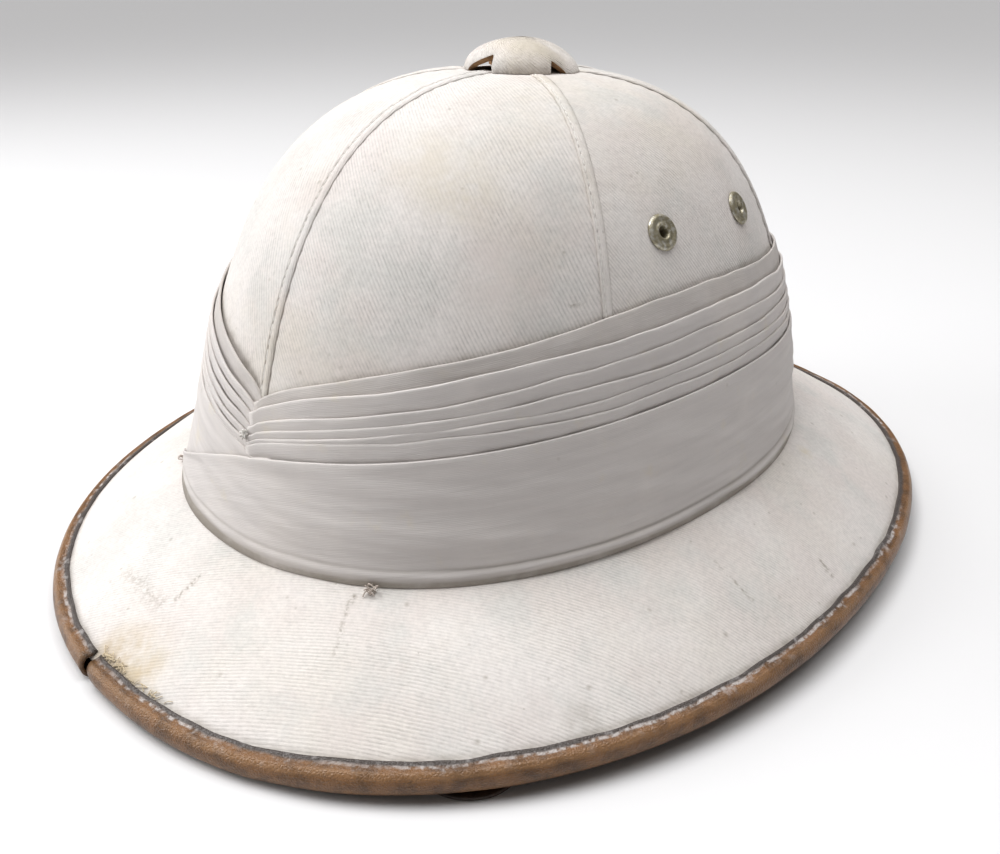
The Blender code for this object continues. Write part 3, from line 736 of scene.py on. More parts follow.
def make_thread_material(name, colour):
    """Twisted cotton thread under the same whitening."""
    material, tree, shader = start_material(name)
    where = add_node(tree, "TexCoord").outputs["Object"]
    fuzz = add_node(tree, "TexNoise", {"Vector": where, "Scale": 1500.0, "Detail": 4.0})
    worn = patches(tree, where, 0.004, 0.4, 0.1)
    tone = blend_colours(tree, calculate(tree, "MULTIPLY", worn, 0.5), colour, GRIME_AND_SHADE)
    tree.links.new(tone, shader.inputs["Base Color"])
    bump = add_node(tree, "Bump", {"Height": fuzz.outputs["Fac"], "Strength": 0.6, "Distance": 0.0002})
    tree.links.new(bump.outputs["Normal"], shader.inputs["Normal"])
    shader.inputs["Roughness"].default_value = 0.8
    return material


tape_white = make_whitened_cloth(
    "seam_tape_cotton", DRILL_PITCH * 0.6, math.radians(80), stain=0.8, groove=0.93
)
white_thread = make_thread_material("white_thread", (0.84, 0.82, 0.78, 1))
for seam in range(len(SEAMS)):
    make_seam_tape(seam, tape_white, white_thread)


# Brim cover. One sheet of the drill is stretched over the brim from the crown's foot to under the
# rolled edge. It is scuffed, and its wales run slantwise across the whole brim.
BRIM_COLUMNS = 320
BRIM_ROWS = 44
BRIM_SCUFFS = (
    ((0.0414, -0.1212, 0.0293), (0.0465, -0.1290, 0.0255), 0.0013, 0.95),
    ((0.0465, -0.1290, 0.0255), (0.0490, -0.1351, 0.0221), 0.0011, 0.60),
    ((-0.0066, -0.1403, 0.0246), (-0.0064, -0.1479, 0.0207), 0.0013, 0.85),
    ((-0.0323, -0.1486, 0.0181), (-0.0109, -0.1513, 0.0186), 0.0040, 0.45),
    ((0.1093, -0.0395, 0.0290), (0.1221, -0.0391, 0.0212), 0.0009, 0.75),
    ((0.1276, -0.0041, 0.0194), (0.1321, -0.0041, 0.0158), 0.0012, 0.80),
)
BRIM_SMUDGES = (
    ((0.1015, 0.0377, 0.0320), 0.0050, YELLOWED, 0.9),
    ((0.1085, -0.1037, 0.0130), 0.0080, GRIME_AND_SHADE, 0.35),
    ((-0.0026, -0.1678, 0.0088), 0.0200, (0.50, 0.38, 0.20, 1), 0.75),
    ((-0.0120, -0.1680, 0.0088), 0.0140, (0.42, 0.31, 0.16, 1), 0.75),
)


def make_brim_cover(material):
    columns = []
    for azimuth in turns_between(0, ROUND, BRIM_COLUMNS):
        column = []
        for i in range(BRIM_ROWS + 1):
            share = i / BRIM_ROWS
            line = brim_offset(azimuth, share, 0) if i else foot_corner(azimuth, -CLOTH, 0)
            point = place(azimuth, line)
            away = share * (brim_ends(azimuth)[1] - brim_ends(azimuth)[0]).length
            to_edge = (1 - share) * (brim_ends(azimuth)[1] - brim_ends(azimuth)[0]).length
            free = min(away / 0.008, to_edge / 0.008, 1)
            point.z += free * (noise.noise(point * 24) * 0.0005 + noise.noise(point * 80) * 0.00012)
            # Darker by the leather lip and at the crown's foot: mostly painted shade in the gap under the lip and
            # in the corner under the band, with a little dirt.
            soil_and_shade = 0.60 * math.exp(-max(to_edge - 0.0036, 0) / 0.0007) + 0.65 * math.exp(-away / 0.0015)
            column.append((point, point.x, point.y, min(soil_and_shade, 1)))
        columns.append(column)
    bm = lay_grid(columns)
    close_seam(bm)
    return fit_piece("brim_cloth", bm, material, ("brim_cover",), wall=0.0008)


brim_white = make_whitened_cloth(
    "brim_cotton_drill", BRIM_DRILL_PITCH, math.radians(29), stain=0.25, groove=0.80, depth=0.00009,
    specks=0.22, scuffs=BRIM_SCUFFS, smudges=BRIM_SMUDGES,
)
make_brim_cover(brim_white)


# Puggaree. A long strip of fine cotton is wound round the crown: a smooth band below and six thin
# folds above it, each tucked behind the one below. The wrap ends at the front, where its right
# folds lie over the left ones in a V and its lower edge runs down to the brim.
BAND_FRONT = 0.0243
BAND_SIDE = 0.0380
BAND_LIFT = 0.0027
BAND_ROWS = 48
HEM_HEIGHT = 0.0032
WRAP_COLUMNS = 400
FOLD_EDGES = (0.0, 0.13, 0.25, 0.40, 0.585, 0.775, 1.0)
FOLD_EDGES_AT_V = (0.0, 0.24, 0.31, 0.42, 0.575, 0.83, 1.0)
FOLDS_SPREAD = math.radians(70)
FOLD_TUCK = 0.0022
FOLD_CLOTH = 0.0009
FOLD_LOW_LIFT = 0.0013
FOLD_HIGH_LIFT = 0.0026
TOP_FOLD_LIFT = 0.0015
# Painted shade on the top fold: its colour is darkened all along, standing in for the shade of its tilted face.
TOP_FOLD_SHADE = 0.22
FOLD_ROWS = 12
FOLD_ROLL_STEPS = 6
V_START = math.radians(-0.9)
V_END = ROUND + math.radians(0.8)
V_LIFT = 0.0006
GAPE_MIDDLE = math.radians(7)
GAPE_WIDTH = math.radians(5)
GAPE_LIFT = 0.0009
LAP_START = math.radians(-31)
LAP_END = ROUND + math.radians(4)
LAP_FALL_POWER = 1.25
BULGE_HEIGHT = 0.0030
BULGE_WIDTH = math.radians(22)
BULGE_REACH = 0.020
PUGGAREE_WHITE = (0.645, 0.61, 0.59, 1)


def band_top(azimuth):
    return BAND_FRONT + (BAND_SIDE - BAND_FRONT) * v_share(azimuth)


def fold_height(azimuth, index):
    """Height of a fold's upper edge; the lowest folds run together towards the V."""
    spread = ramp(azimuth, 0, FOLDS_SPREAD)
    edge = FOLD_EDGES_AT_V[index] * (1 - spread) + FOLD_EDGES[index] * spread
    return band_top(azimuth) + (fold_top(azimuth) - band_top(azimuth)) * edge


def wander(azimuth, grain, seed):
    """Smooth unevenness round the crown, the same at a full turn."""
    radius = CROWN_SIDE / grain
    return noise.noise(Vector((math.sin(azimuth) * radius, math.cos(azimuth) * radius, seed)))


def rolled_edge(top, lift, thickness, steps):
    """Height and lift of points round a folded edge, from its outer to its inner side."""
    half = thickness / 2
    turns = turns_between(0, math.pi, steps)
    return [(top - half + half * math.sin(t), lift - half + half * math.cos(t)) for t in turns]


def wrap_spots(azimuth, outline, shift, painted_shade):
    """Spots of a wrap's section, given as heights and lifts above the crown's wall, each with the same painted
    shade.
    """
    places = []
    for height, lift in outline:
        share = min(max(height / CROWN_HEIGHT, 0), 1)
        places.append(place(azimuth, crown_offset(azimuth, share, lift)))
    return spots_down(places, azimuth * CROWN_FRONT + shift, [painted_shade] * len(places))


def fold_outline(azimuth, index):
    """One fold's closed section: down its outer side, back up inside and round its upper edge."""
    beside = min(max(azimuth, 0), ROUND)
    low = fold_height(beside, index) - FOLD_TUCK
    high = fold_height(beside, index + 1)
    start = ramp(azimuth, V_START, math.radians(4))
    end = ramp(azimuth, V_END - math.radians(6), V_END)
    body = min(start, 1 - end)
    high += (0.0009 * wander(azimuth, 0.034, index * 7.3) + 0.0003 * wander(azimuth, 0.011, index)) * body
    high -= 0.0007 * (1 - ramp(azimuth, V_START, V_START + math.radians(1.0)))
    proud = TOP_FOLD_LIFT if index == len(FOLD_EDGES) - 2 else FOLD_HIGH_LIFT
    top_lift = proud + 0.0004 * wander(azimuth, 0.016, 40 + index) * body
    low_lift = FOLD_LOW_LIFT + 0.0003 * wander(azimuth, 0.019, 80 + index) * body
    raise_by = V_LIFT * (1 - start) - 0.0006 * end
    gape = math.exp(-(((ROUND - azimuth - GAPE_MIDDLE) / GAPE_WIDTH) ** 2))
    top_lift += raise_by + GAPE_LIFT * gape
    low_lift += raise_by * 0.6
    outer = []
    for i in range(FOLD_ROWS + 1):
        share = i / FOLD_ROWS
        height = high - FOLD_CLOTH / 2 - (high - FOLD_CLOTH / 2 - low) * share
        lift = top_lift + (low_lift - top_lift) * share**1.2
        crumple = 0.00022 * noise.noise(Vector((azimuth * 18, height * 260, index * 3.7))) * body
        outer.append((height, lift + crumple * math.sin(math.pi * share)))
    inner = [(height, lift - FOLD_CLOTH) for height, lift in outer[::3]][::-1]
    edge = rolled_edge(high, top_lift, FOLD_CLOTH, FOLD_ROLL_STEPS)[::-1]
    return outer + inner[:-1] + edge


def make_fold(index, material):
    # Only the top fold gets this painted shade.
    painted_shade = TOP_FOLD_SHADE if index == len(FOLD_EDGES) - 2 else 0.0
    columns = []
    for azimuth in turns_between(V_START, V_END, WRAP_COLUMNS):
        columns.append(wrap_spots(azimuth, fold_outline(azimuth, index), index * 0.05, painted_shade))
    bm = lay_grid(columns)
    bmesh.ops.remove_doubles(bm, verts=bm.verts, dist=1e-6)
    bmesh.ops.holes_fill(bm, edges=[edge for edge in bm.edges if edge.is_boundary], sides=0)
    bmesh.ops.recalc_face_normals(bm, faces=bm.faces)
    name = f"puggaree_fold_{index + 1}"
    return fit_piece(f"{name}_cloth", bm, material, (name,))


def band_edge(azimuth):
    """Height of the band's upper edge: past the V it runs on down to the brim."""
    if azimuth >= 0:
        return band_top(azimuth)
    share = azimuth / LAP_START
    return BAND_FRONT * (1 - share**LAP_FALL_POWER) + 0.0004


def band_bulge(azimuth, height):
    """How far the band stands off the crown, where its end is sewn down at the foot."""
    aside = math.remainder(azimuth - LAP_START, ROUND) / BULGE_WIDTH
    return BULGE_HEIGHT * math.exp(-aside * aside - (height / BULGE_REACH) ** 2)


def make_band(material):
    columns = []
    for azimuth in turns_between(LAP_START, LAP_END, WRAP_COLUMNS + 40):
        top = band_edge(azimuth)
        over = 1 - ramp(azimuth, math.radians(2), math.radians(14))
        under = ramp(azimuth, ROUND + LAP_START - math.radians(8), ROUND + LAP_START)
        hem = 0.5 + 0.5 * ramp(azimuth, math.radians(20), math.radians(50))
        lift = BAND_LIFT + 0.0007 * over - 0.0004 * under
        places = []
        soil_and_shade = []
        outline = rolled_edge(top, lift + 0.0003, FOLD_CLOTH, FOLD_ROLL_STEPS)[::-1]
        for height, out in outline:
            out += band_bulge(azimuth, height)
            places.append(place(azimuth, crown_offset(azimuth, max(height / CROWN_HEIGHT, 0), out)))
            soil_and_shade.append(0.0)
        start = max(top - FOLD_CLOTH / 2, 0.0002)
        for i in range(1, BAND_ROWS + 1):
            height = start * (1 - i / BAND_ROWS) ** 1.6
            free = min(i / 4, 1)
            crease = 0.00080 * noise.noise(Vector((azimuth * 2.6, height * 150 + azimuth * 2.0, 3.1)))
            crease += 0.00028 * noise.noise(Vector((azimuth * 7.0, height * 480 + azimuth * 6.0, 9.4)))
            stitched = math.exp(-(((height - HEM_HEIGHT) / 0.0005) ** 2))
            rolled = 0.00060 * hem * math.exp(-(((height - HEM_HEIGHT / 2) / 0.0010) ** 2))
            groove = -0.00055 * hem * stitched
            out = lift + 0.0003 * (1 - free) + free * crease + rolled + groove + band_bulge(azimuth, height)
            if i == BAND_ROWS:
                line = foot_corner(azimuth, round(lift + band_bulge(azimuth, 0), 6), GAP)
            else:
                line = crown_offset(azimuth, height / CROWN_HEIGHT, out)
            places.append(place(azimuth, line))
            # Painted shade: darker along the band's foot on the brim and along the hem's stitched groove, more so
            # towards the right side.
            soil_and_shade.append(0.8 * math.exp(-height / 0.0007) + 0.45 * hem * stitched)
        columns.append(spots_down(places, azimuth * CROWN_FRONT, soil_and_shade))
    bm = lay_grid(columns)
    bmesh.ops.recalc_face_normals(bm, faces=bm.faces)
    return fit_piece("puggaree_band_cloth", bm, material, ("puggaree_band",), wall=0.0005)


def make_puggaree_material():
    """Fine cotton with a close weave, greyed by handling and streaked along the wrap."""
    material, tree, shader = start_material("puggaree_cotton")
    where = add_node(tree, "TexCoord").outputs["Object"]
    cloth = add_node(tree, "UVMap", uv_map="cloth").outputs["UV"]
    soil_and_shade = add_node(tree, "Attribute", attribute_name="soil_and_shade").outputs["Fac"]
    drawn = add_node(tree, "Mapping", {"Vector": cloth, "Scale": (9.0, 150.0, 1.0)}).outputs[0]
    streaks = add_node(tree, "TexNoise", {"Vector": drawn, "Scale": 2.0, "Detail": 5.0, "Roughness": 0.6})
    streak = add_node(
        tree, "MapRange", {"Value": streaks.outputs["Fac"], "From Min": 0.35, "From Max": 0.70}
    ).outputs["Result"]
    colour = blend_colours(tree, calculate(tree, "MULTIPLY", streak, 0.65), PUGGAREE_WHITE, (0.55, 0.52, 0.505, 1))
    warm = calculate(tree, "MULTIPLY", 0.5, patches(tree, where, 0.035, 0.45, 0.12))
    colour = blend_colours(tree, warm, colour, (0.70, 0.655, 0.62, 1))
    yellow = calculate(tree, "MULTIPLY", 0.45, patches(tree, where, 0.012, 0.33, 0.08))
    colour = blend_colours(tree, yellow, colour, (0.66, 0.60, 0.49, 1))
    speck = use_group(tree, SPECKS, {"Vector": where, "Size": 0.0055, "Cover": 0.06})["Mask"]
    colour = blend_colours(tree, calculate(tree, "MULTIPLY", speck, 0.4), colour, GRIME_AND_SHADE)
    # Soiling attribute: painted shade along the band's foot, along its hem line and over the top fold.
    soil_and_shade_mask = calculate(tree, "MULTIPLY", soil_and_shade, patches(tree, where, 0.012, 0.7, 0.30))
    colour = blend_colours(tree, soil_and_shade_mask, colour, GRIME_AND_SHADE)
    tree.links.new(colour, shader.inputs["Base Color"])
    weave = use_group(tree, TWILL, {"Cloth": cloth, "Pitch": 0.0005, "Slant": 0.0})["Ridge"]
    height = calculate(tree, "MULTIPLY_ADD", weave, 0.12, streaks.outputs["Fac"])
    bump = add_node(tree, "Bump", {"Height": height, "Strength": 0.9, "Distance": 0.00035})
    tree.links.new(bump.outputs["Normal"], shader.inputs["Normal"])
    shader.inputs["Roughness"].default_value = 0.8
    shader.inputs["Specular IOR Level"].default_value = 0.3
    return material


puggaree_white = make_puggaree_material()
make_band(puggaree_white)
for fold in range(len(FOLD_EDGES) - 1):
    make_fold(fold, puggaree_white)


# Threads. The end of the wrap is caught down with a few stitches: a knot in the V, a frayed tuft
# on the band's lower edge and another where the lap meets the brim.
def sweep_thread(bm, points, radius):
    """A thin six-sided tube through a few points."""
    sides = 6
    curve = []
    for i in range(len(points) - 1):
        before = points[max(i - 1, 0)]
        after = points[min(i + 2, len(points) - 1)]
        for j in range(4):
            share = j / 4
            slope_in = (points[i + 1] - before) / 2
            slope_out = (after - points[i]) / 2
            curve.append(
                points[i] * (2 * share**3 - 3 * share**2 + 1) + slope_in * (share**3 - 2 * share**2 + share)
                + points[i + 1] * (3 * share**2 - 2 * share**3) + slope_out * (share**3 - share**2)
            )
    curve.append(points[-1])
    previous = None
    for i, point in enumerate(curve):
        ahead = (curve[min(i + 1, len(curve) - 1)] - curve[max(i - 1, 0)]).normalized()
        turn = ahead.to_track_quat("Z", "Y").to_matrix().to_4x4()
        ring = bmesh.ops.create_circle(
            bm, cap_ends=i in (0, len(curve) - 1), segments=sides, radius=radius,
            matrix=Matrix.Translation(point) @ turn,
        )["verts"]
        if previous:
            for k in range(sides):
                bm.faces.new((previous[k], previous[(k + 1) % sides], ring[(k + 1) % sides], ring[k]))
        previous = ring


def make_tuft(name, centre, spread, strands, radius, material, seed, upward):
    """A loose tuft: strands that start together and curl away."""
    draw = random.Random(seed)
    bm = bmesh.new()
    for _ in range(strands):
        heading = Vector((draw.uniform(-1, 1), draw.uniform(-1, 1), draw.uniform(-1, 1))).normalized()
        heading = (heading + upward).normalized()
        side = heading.cross(Vector((draw.uniform(-1, 1), draw.uniform(-1, 1), draw.uniform(-1, 1)))).normalized()
        start = centre + side * spread * 0.15
        points = [start - heading * spread * 0.3]
        points.append(start + side * spread * 0.35)
        points.append(start + heading * spread * 0.55 - side * spread * 0.1)
        points.append(start + heading * spread * draw.uniform(0.7, 1.0) + side * spread * draw.uniform(-0.4, 0.4))
        sweep_thread(bm, points, radius)
    bmesh.ops.recalc_face_normals(bm, faces=bm.faces)
    return fit_piece(name, bm, material, stand=False)


grey_thread = make_thread_material("grey_thread", (0.52, 0.45, 0.40, 1))
LAP_FOOT = STAND @ place(LAP_START, foot_corner(LAP_START, BAND_LIFT + BULGE_HEIGHT, GAP))
TUFTS = (
    ("foot_tuft", Vector((0.0443, -0.1166, 0.0314)), 0.0033, 10, 0.00020, grey_thread, 4, (0.3, -0.5, 0.2)),
    ("v_knot", Vector((-0.0022, -0.1202, 0.0655)), 0.0024, 10, 0.00026, white_thread, 7, (-0.2, -0.8, 0.3)),
    ("lap_tuft", LAP_FOOT, 0.0032, 8, 0.00018, grey_thread, 9, (-0.5, -0.5, 0.4)),
)
for name, centre, spread, strands, radius, thread, seed, upward in TUFTS:
    make_tuft(name, centre, spread, strands, radius, thread, seed, Vector(upward))


# Rolled edge. A strip of thin brown leather is rolled over the brim's edge like a hollow pipe and
# sewn through its upper lip. Its ends meet near the front, where the left end has opened. The
# leather is rubbed pale in streaks, has a painted highlight along its crest, and keeps traces of the whitening by
# the cloth.
ROLL_JOINT = math.radians(-6)
ROLL_JOINT_GAP = 0.0024
ROLL_COLUMNS = 420
ROLL_ROWS = 30
ROLL_LEATHER = 0.0011
ROLL_LIP = 0.0032
ROLL_PINCH = 0.0013
LIP_ROWS = 6


def make_rolled_edge(material):
    half = ROLL_JOINT_GAP / 2 / RIM_FRONT
    first = ROLL_JOINT + half
    last = ROUND + ROLL_JOINT - half
    columns = []
    for azimuth in turns_between(first, last, ROLL_COLUMNS):
        middle = rim_middle(azimuth)
        _, _, normal = brim_ends(azimuth)
        inward = Vector((-normal[1], normal[0]))
        upright = math.atan2(normal[1], normal[0])
        down = -math.atan(math.cos(azimuth) * math.tan(LEAN)) - math.pi / 2
        from_start = (azimuth - first) * RIM_FRONT
        from_end = (last - azimuth) * RIM_FRONT
        tuck = 1 - 0.16 * math.exp(-from_start / 0.0016)
        flare = 1 + 0.05 * math.exp(-from_end / 0.003)
        size = ROLL_RADIUS * tuck * flare
        uneven = 0.00016 * wander(azimuth, 0.009, 11.0)
        places = []
        upper_lip = ROLL_LIP + 0.0006 * wander(azimuth, 0.006, 27.0)
        for i in range(LIP_ROWS):
            reach = upper_lip * (1 - i / LIP_ROWS)
            pinch = ROLL_PINCH * math.sin(math.pi / 2 * reach / upper_lip)
            line = middle + Vector((math.cos(upright), math.sin(upright))) * (size - pinch) + inward * reach
            places.append(place(azimuth, line))
        for i in range(ROLL_ROWS + 1):
            turn = upright - math.pi * i / ROLL_ROWS
            low = abs(math.remainder(turn - down, ROUND))
            radius = size + uneven
            if low < ROLL_FLAT * 1.6:
                radius = min(radius, ROLL_REST / math.cos(low))
            places.append(place(azimuth, middle + Vector((math.cos(turn), math.sin(turn))) * radius))
        for i in range(1, 4):
            line = middle - Vector((math.cos(upright), math.sin(upright))) * size + inward * ROLL_LIP * i / 3
            places.append(place(azimuth, line))
        soil_and_shade = [min(1.0, 0.3 * math.exp(-min(from_start, from_end) / 0.004))] * len(places)
        columns.append(spots_down(places, azimuth * RIM_FRONT, soil_and_shade))
    bm = lay_grid(columns)
    return fit_piece(
        "rolled_leather_edge", bm, material, ("brim_binding",), wall=ROLL_LEATHER
    )


def make_grain():
    """Fine pebbled leather grain; Size is a pebble in metres. Height is 1 on the pebbles."""
    group, given, made = new_group(
        "leather_grain", [("Vector", "VECTOR"), ("Size", "FLOAT")], [("Height", "FLOAT")]
    )
    scale = calculate(group, "DIVIDE", 1.0, given["Size"])
    cells = add_node(
        group, "TexVoronoi", {"Vector": given["Vector"], "Scale": scale}, feature="DISTANCE_TO_EDGE"
    )
    pebble = add_node(group, "MapRange", {"Value": cells.outputs["Distance"], "From Max": 0.3})
    wrinkle = add_node(group, "TexNoise", {"Vector": given["Vector"], "Scale": scale, "Detail": 4.0})
    height = calculate(group, "MULTIPLY_ADD", wrinkle.outputs["Fac"], 0.7, pebble.outputs["Result"])
    group.links.new(height, made["Height"])
    return group


GRAIN = make_grain()
ROLL_GIRTH = math.pi * ROLL_RADIUS
TAN = (0.200, 0.098, 0.040, 1)
BROWN = (0.095, 0.048, 0.022, 1)
PALE_TAN = (0.31, 0.175, 0.085, 1)
DARK_TAN = (0.075, 0.040, 0.020, 1)


def band_of(tree, value, middle, half):
    """1 where the value is at the middle, and 0 from half a band away."""
    away = calculate(tree, "ABSOLUTE", calculate(tree, "SUBTRACT", value, middle))
    return add_node(
        tree, "MapRange", {"Value": away, "From Min": half, "From Max": half * 0.4}
    ).outputs["Result"]


def make_roll_material():
    """Brown leather by its place round the roll: a dark line at the sewn edge, which is painted shade of the gap
    by the cloth with some dirt; chalk; a tan face with a painted highlight on its crest; and a darker underside,
    which is painted shade.
    """
    material, tree, shader = start_material("rolled_brown_leather")
    where = add_node(tree, "TexCoord").outputs["Object"]
    strip = add_node(tree, "UVMap", uv_map="cloth").outputs["UV"]
    girth = add_node(tree, "SeparateXYZ", {"Vector": strip}).outputs["Y"]
    sway = add_node(tree, "TexNoise", {"Vector": where, "Scale": 160.0, "Detail": 4.0})
    girth = calculate(tree, "MULTIPLY_ADD", sway.outputs["Fac"], 0.0014, girth)
    # The lower side of the roll is painted darker: painted shade on its downward face.
    lower = add_node(
        tree, "MapRange", {"Value": girth, "From Min": ROLL_LIP + 0.0075, "From Max": ROLL_LIP + 0.0105}
    ).outputs["Result"]
    mottled = patches(tree, where, 0.007, 0.48, 0.14)
    colour = blend_colours(tree, mottled, TAN, BROWN)
    streak = add_node(
        tree, "TexNoise",
        {"Vector": add_node(tree, "Mapping", {"Vector": strip, "Scale": (60, 700, 1)}).outputs[0], "Detail": 4.0},
    )
    rubbed = add_node(
        tree, "MapRange", {"Value": streak.outputs["Fac"], "From Min": 0.50, "From Max": 0.68}
    ).outputs["Result"]
    colour = blend_colours(tree, calculate(tree, "MULTIPLY", rubbed, 0.35), colour, PALE_TAN)
    colour = blend_colours(tree, lower, colour, DARK_TAN)
    # Painted highlight: a paler band along the top of the roll.
    crest_highlight = band_of(tree, girth, 0.0050, 0.0014)
    crest_highlight = calculate(tree, "MULTIPLY", crest_highlight, patches(tree, where, 0.009, 0.58, 0.20))
    colour = blend_colours(tree, calculate(tree, "MULTIPLY", crest_highlight, 0.60), colour, PALE_TAN)
    # Dark line at the lip's inner end: painted shade of the gap between leather and cloth, with some dirt.
    edge = add_node(tree, "MapRange", {"Value": girth, "From Min": 0.0024, "From Max": 0.0016}).outputs["Result"]
    colour = blend_colours(tree, edge, colour, (0.075, 0.062, 0.056, 1))
    broken = calculate(
        tree, "MULTIPLY", patches(tree, where, 0.0022, 0.50, 0.10), patches(tree, where, 0.045, 0.52, 0.12)
    )
    line = calculate(tree, "MULTIPLY", band_of(tree, girth, 0.0023, 0.0007), broken)
    smears = add_node(tree, "MapRange", {"Value": girth, "From Min": 0.0060, "From Max": 0.0030}).outputs["Result"]
    smears = calculate(tree, "MULTIPLY", smears, patches(tree, where, 0.0050, 0.36, 0.08))
    clay = calculate(tree, "MAXIMUM", line, calculate(tree, "MULTIPLY", smears, 0.6))
    colour = blend_colours(tree, calculate(tree, "MULTIPLY", clay, 0.80), colour, (0.56, 0.53, 0.52, 1))
    soil_and_shade = add_node(tree, "Attribute", attribute_name="soil_and_shade").outputs["Fac"]
    colour = blend_colours(tree, soil_and_shade, colour, (0.05, 0.035, 0.02, 1))
    tree.links.new(colour, shader.inputs["Base Color"])
    rough = add_node(tree, "MapRange", {"Value": clay, "To Min": 0.36, "To Max": 0.85}).outputs["Result"]
    tree.links.new(rough, shader.inputs["Roughness"])
    shader.inputs["Specular IOR Level"].default_value = 0.40
    grain = use_group(tree, GRAIN, {"Vector": where, "Size": 0.0009})["Height"]
    grain = calculate(tree, "MULTIPLY_ADD", clay, 0.8, grain)
    bump = add_node(tree, "Bump", {"Height": grain, "Strength": 0.6, "Distance": 0.0002})
    tree.links.new(bump.outputs["Normal"], shader.inputs["Normal"])
    return material


make_rolled_edge(make_roll_material())


def brim_point(azimuth, from_lip):
    """A place on the brim's cloth, this far in from the leather's lip."""
    foot, edge, _ = brim_ends(azimuth)
    width = (edge - foot).length
    return STAND @ place(azimuth, brim_offset(azimuth, 1 - (ROLL_LIP + from_lip) / width, 0.0002))


def make_frays(thread):
    """Short loose yarns where the cloth's edge has pulled out of the leather beside the joint."""
    draw = random.Random(21)
    bm = bmesh.new()
    for _ in range(FRAY_COUNT):
        azimuth = ROLL_JOINT + math.radians(draw.uniform(0.3, 1) * draw.uniform(0.1, 1) * FRAY_SPREAD)
        start = brim_point(azimuth, draw.uniform(-0.0006, 0.0010))
        across = math.radians(draw.uniform(-1.6, 1.6))
        end = brim_point(azimuth + across, draw.uniform(0.0004, 0.0030))
        rise = Vector((0, 0, draw.uniform(0.0001, 0.0006)))
        sweep_thread(bm, [start, start.lerp(end, 0.5) + rise, end + rise * 0.4], 0.00012)
    bmesh.ops.recalc_face_normals(bm, faces=bm.faces)
    fit_piece("frayed_yarns", bm, thread, stand=False)


FRAY_COUNT = 40
FRAY_SPREAD = 13
make_frays(make_thread_material("yellowed_yarn", (0.62, 0.52, 0.36, 1)))


# Vent cap. A dome of cloth-covered card sits over the vent hole on four short feet, and air goes
# out through the arches between them. Its cloth is creased over the feet and yellowed.
CAP_HEIGHT = 0.0095
CAP_WALL = 0.0020
CAP_COLUMNS = 192
CAP_ROWS = 26
CAP_DOME_POWER = 2.05
CAP_SAG = 0.30
CAP_OPENINGS = ((10.5, -26, 0.0056), (72, 90, 0.0044), (190, 162, 0.0052), (256, 288, 0.0050))


def opening_rise(azimuth):
    """How far the dome's lower edge rises: each opening is steep at its first side, gentle after."""
    rise = 0.0
    for steep, gentle, height in CAP_OPENINGS:
        span = math.radians(gentle - steep)
        share = math.remainder(azimuth - math.radians(steep), ROUND) / span
        if 0 < share < 1:
            rise = height * (1 - share) ** 0.65 * min(share / 0.09, 1)
    return rise


def make_vent_cap(material, lining):
    power = 2 / CAP_DOME_POWER
    columns = []
    for azimuth in turns_between(0, ROUND, CAP_COLUMNS):
        rise = opening_rise(azimuth)
        lowest = math.asin(min(rise / CAP_HEIGHT, 1) ** (1 / power))
        frayed = math.exp(-((math.remainder(azimuth - math.radians(112), ROUND) / 0.45) ** 2))
        creased = math.exp(-((math.remainder(azimuth - math.radians(60), ROUND) / 0.30) ** 2))
        places = []
        soil_and_shade = []
        for i in range(CAP_ROWS + 1):
            turn = math.pi / 2 - (math.pi / 2 - lowest) * i / CAP_ROWS
            radius = CAP_RADIUS * max(math.cos(turn), 0) ** power
            height = CAP_HEIGHT * max(math.sin(turn), 0) ** power
            skirt = max(1 - height / CAP_HEIGHT * 1.2, 0)
            crease = (0.00005 + 0.00018 * creased) * math.sin(azimuth * 31 + 2 * math.sin(azimuth * 3)) * skirt
            lumps = noise.noise(Vector((math.sin(azimuth) * 4, math.cos(azimuth) * 4, height * 200)))
            crease += (0.0003 + 0.0012 * frayed) * lumps + 0.0016 * frayed * skirt
            radius += crease * min(radius / 0.008, 1)
            point = Vector((math.sin(azimuth) * radius, -math.cos(azimuth) * radius, 0))
            drop = 0.0005 * (radius / CAP_RADIUS) ** 2 + CAP_SAG * frayed * height * radius / CAP_RADIUS
            point.z = CROWN_HEIGHT + GAP + height - drop + 0.0003 * noise.noise(point * 70)
            places.append(point)
            # Darker towards the lower edge: painted shade under the cap's rim where it stands off the crown, with
            # some grime.
            soil_and_shade.append(0.55 * math.exp(-(CAP_ROWS - i) / CAP_ROWS / 0.07))
        columns.append(spots_down(places, azimuth * CAP_RADIUS, soil_and_shade))
    bm = lay_grid(columns)
    close_seam(bm)
    cap = fit_piece("vent_cap_cloth", bm, material, ("vent_cap",), wall=CAP_WALL)
    cap.data.materials.append(lining)
    cap.modifiers["thickness"].material_offset = 1
    cap.modifiers["thickness"].material_offset_rim = 1
    soften = cap.modifiers.new("soft_edge", "BEVEL")
    soften.width = 0.0005
    soften.segments = 3
    soften.limit_method = "ANGLE"
    soften.angle_limit = math.radians(50)
    return cap


def make_card_material():
    """Old brown card under the cap's cloth."""
    material, tree, shader = start_material("brown_card")
    where = add_node(tree, "TexCoord").outputs["Object"]
    worn = patches(tree, where, 0.004, 0.5, 0.2)
    colour = blend_colours(tree, worn, (0.36, 0.20, 0.09, 1), (0.16, 0.09, 0.045, 1))
    tree.links.new(colour, shader.inputs["Base Color"])
    shader.inputs["Roughness"].default_value = 0.9
    return material


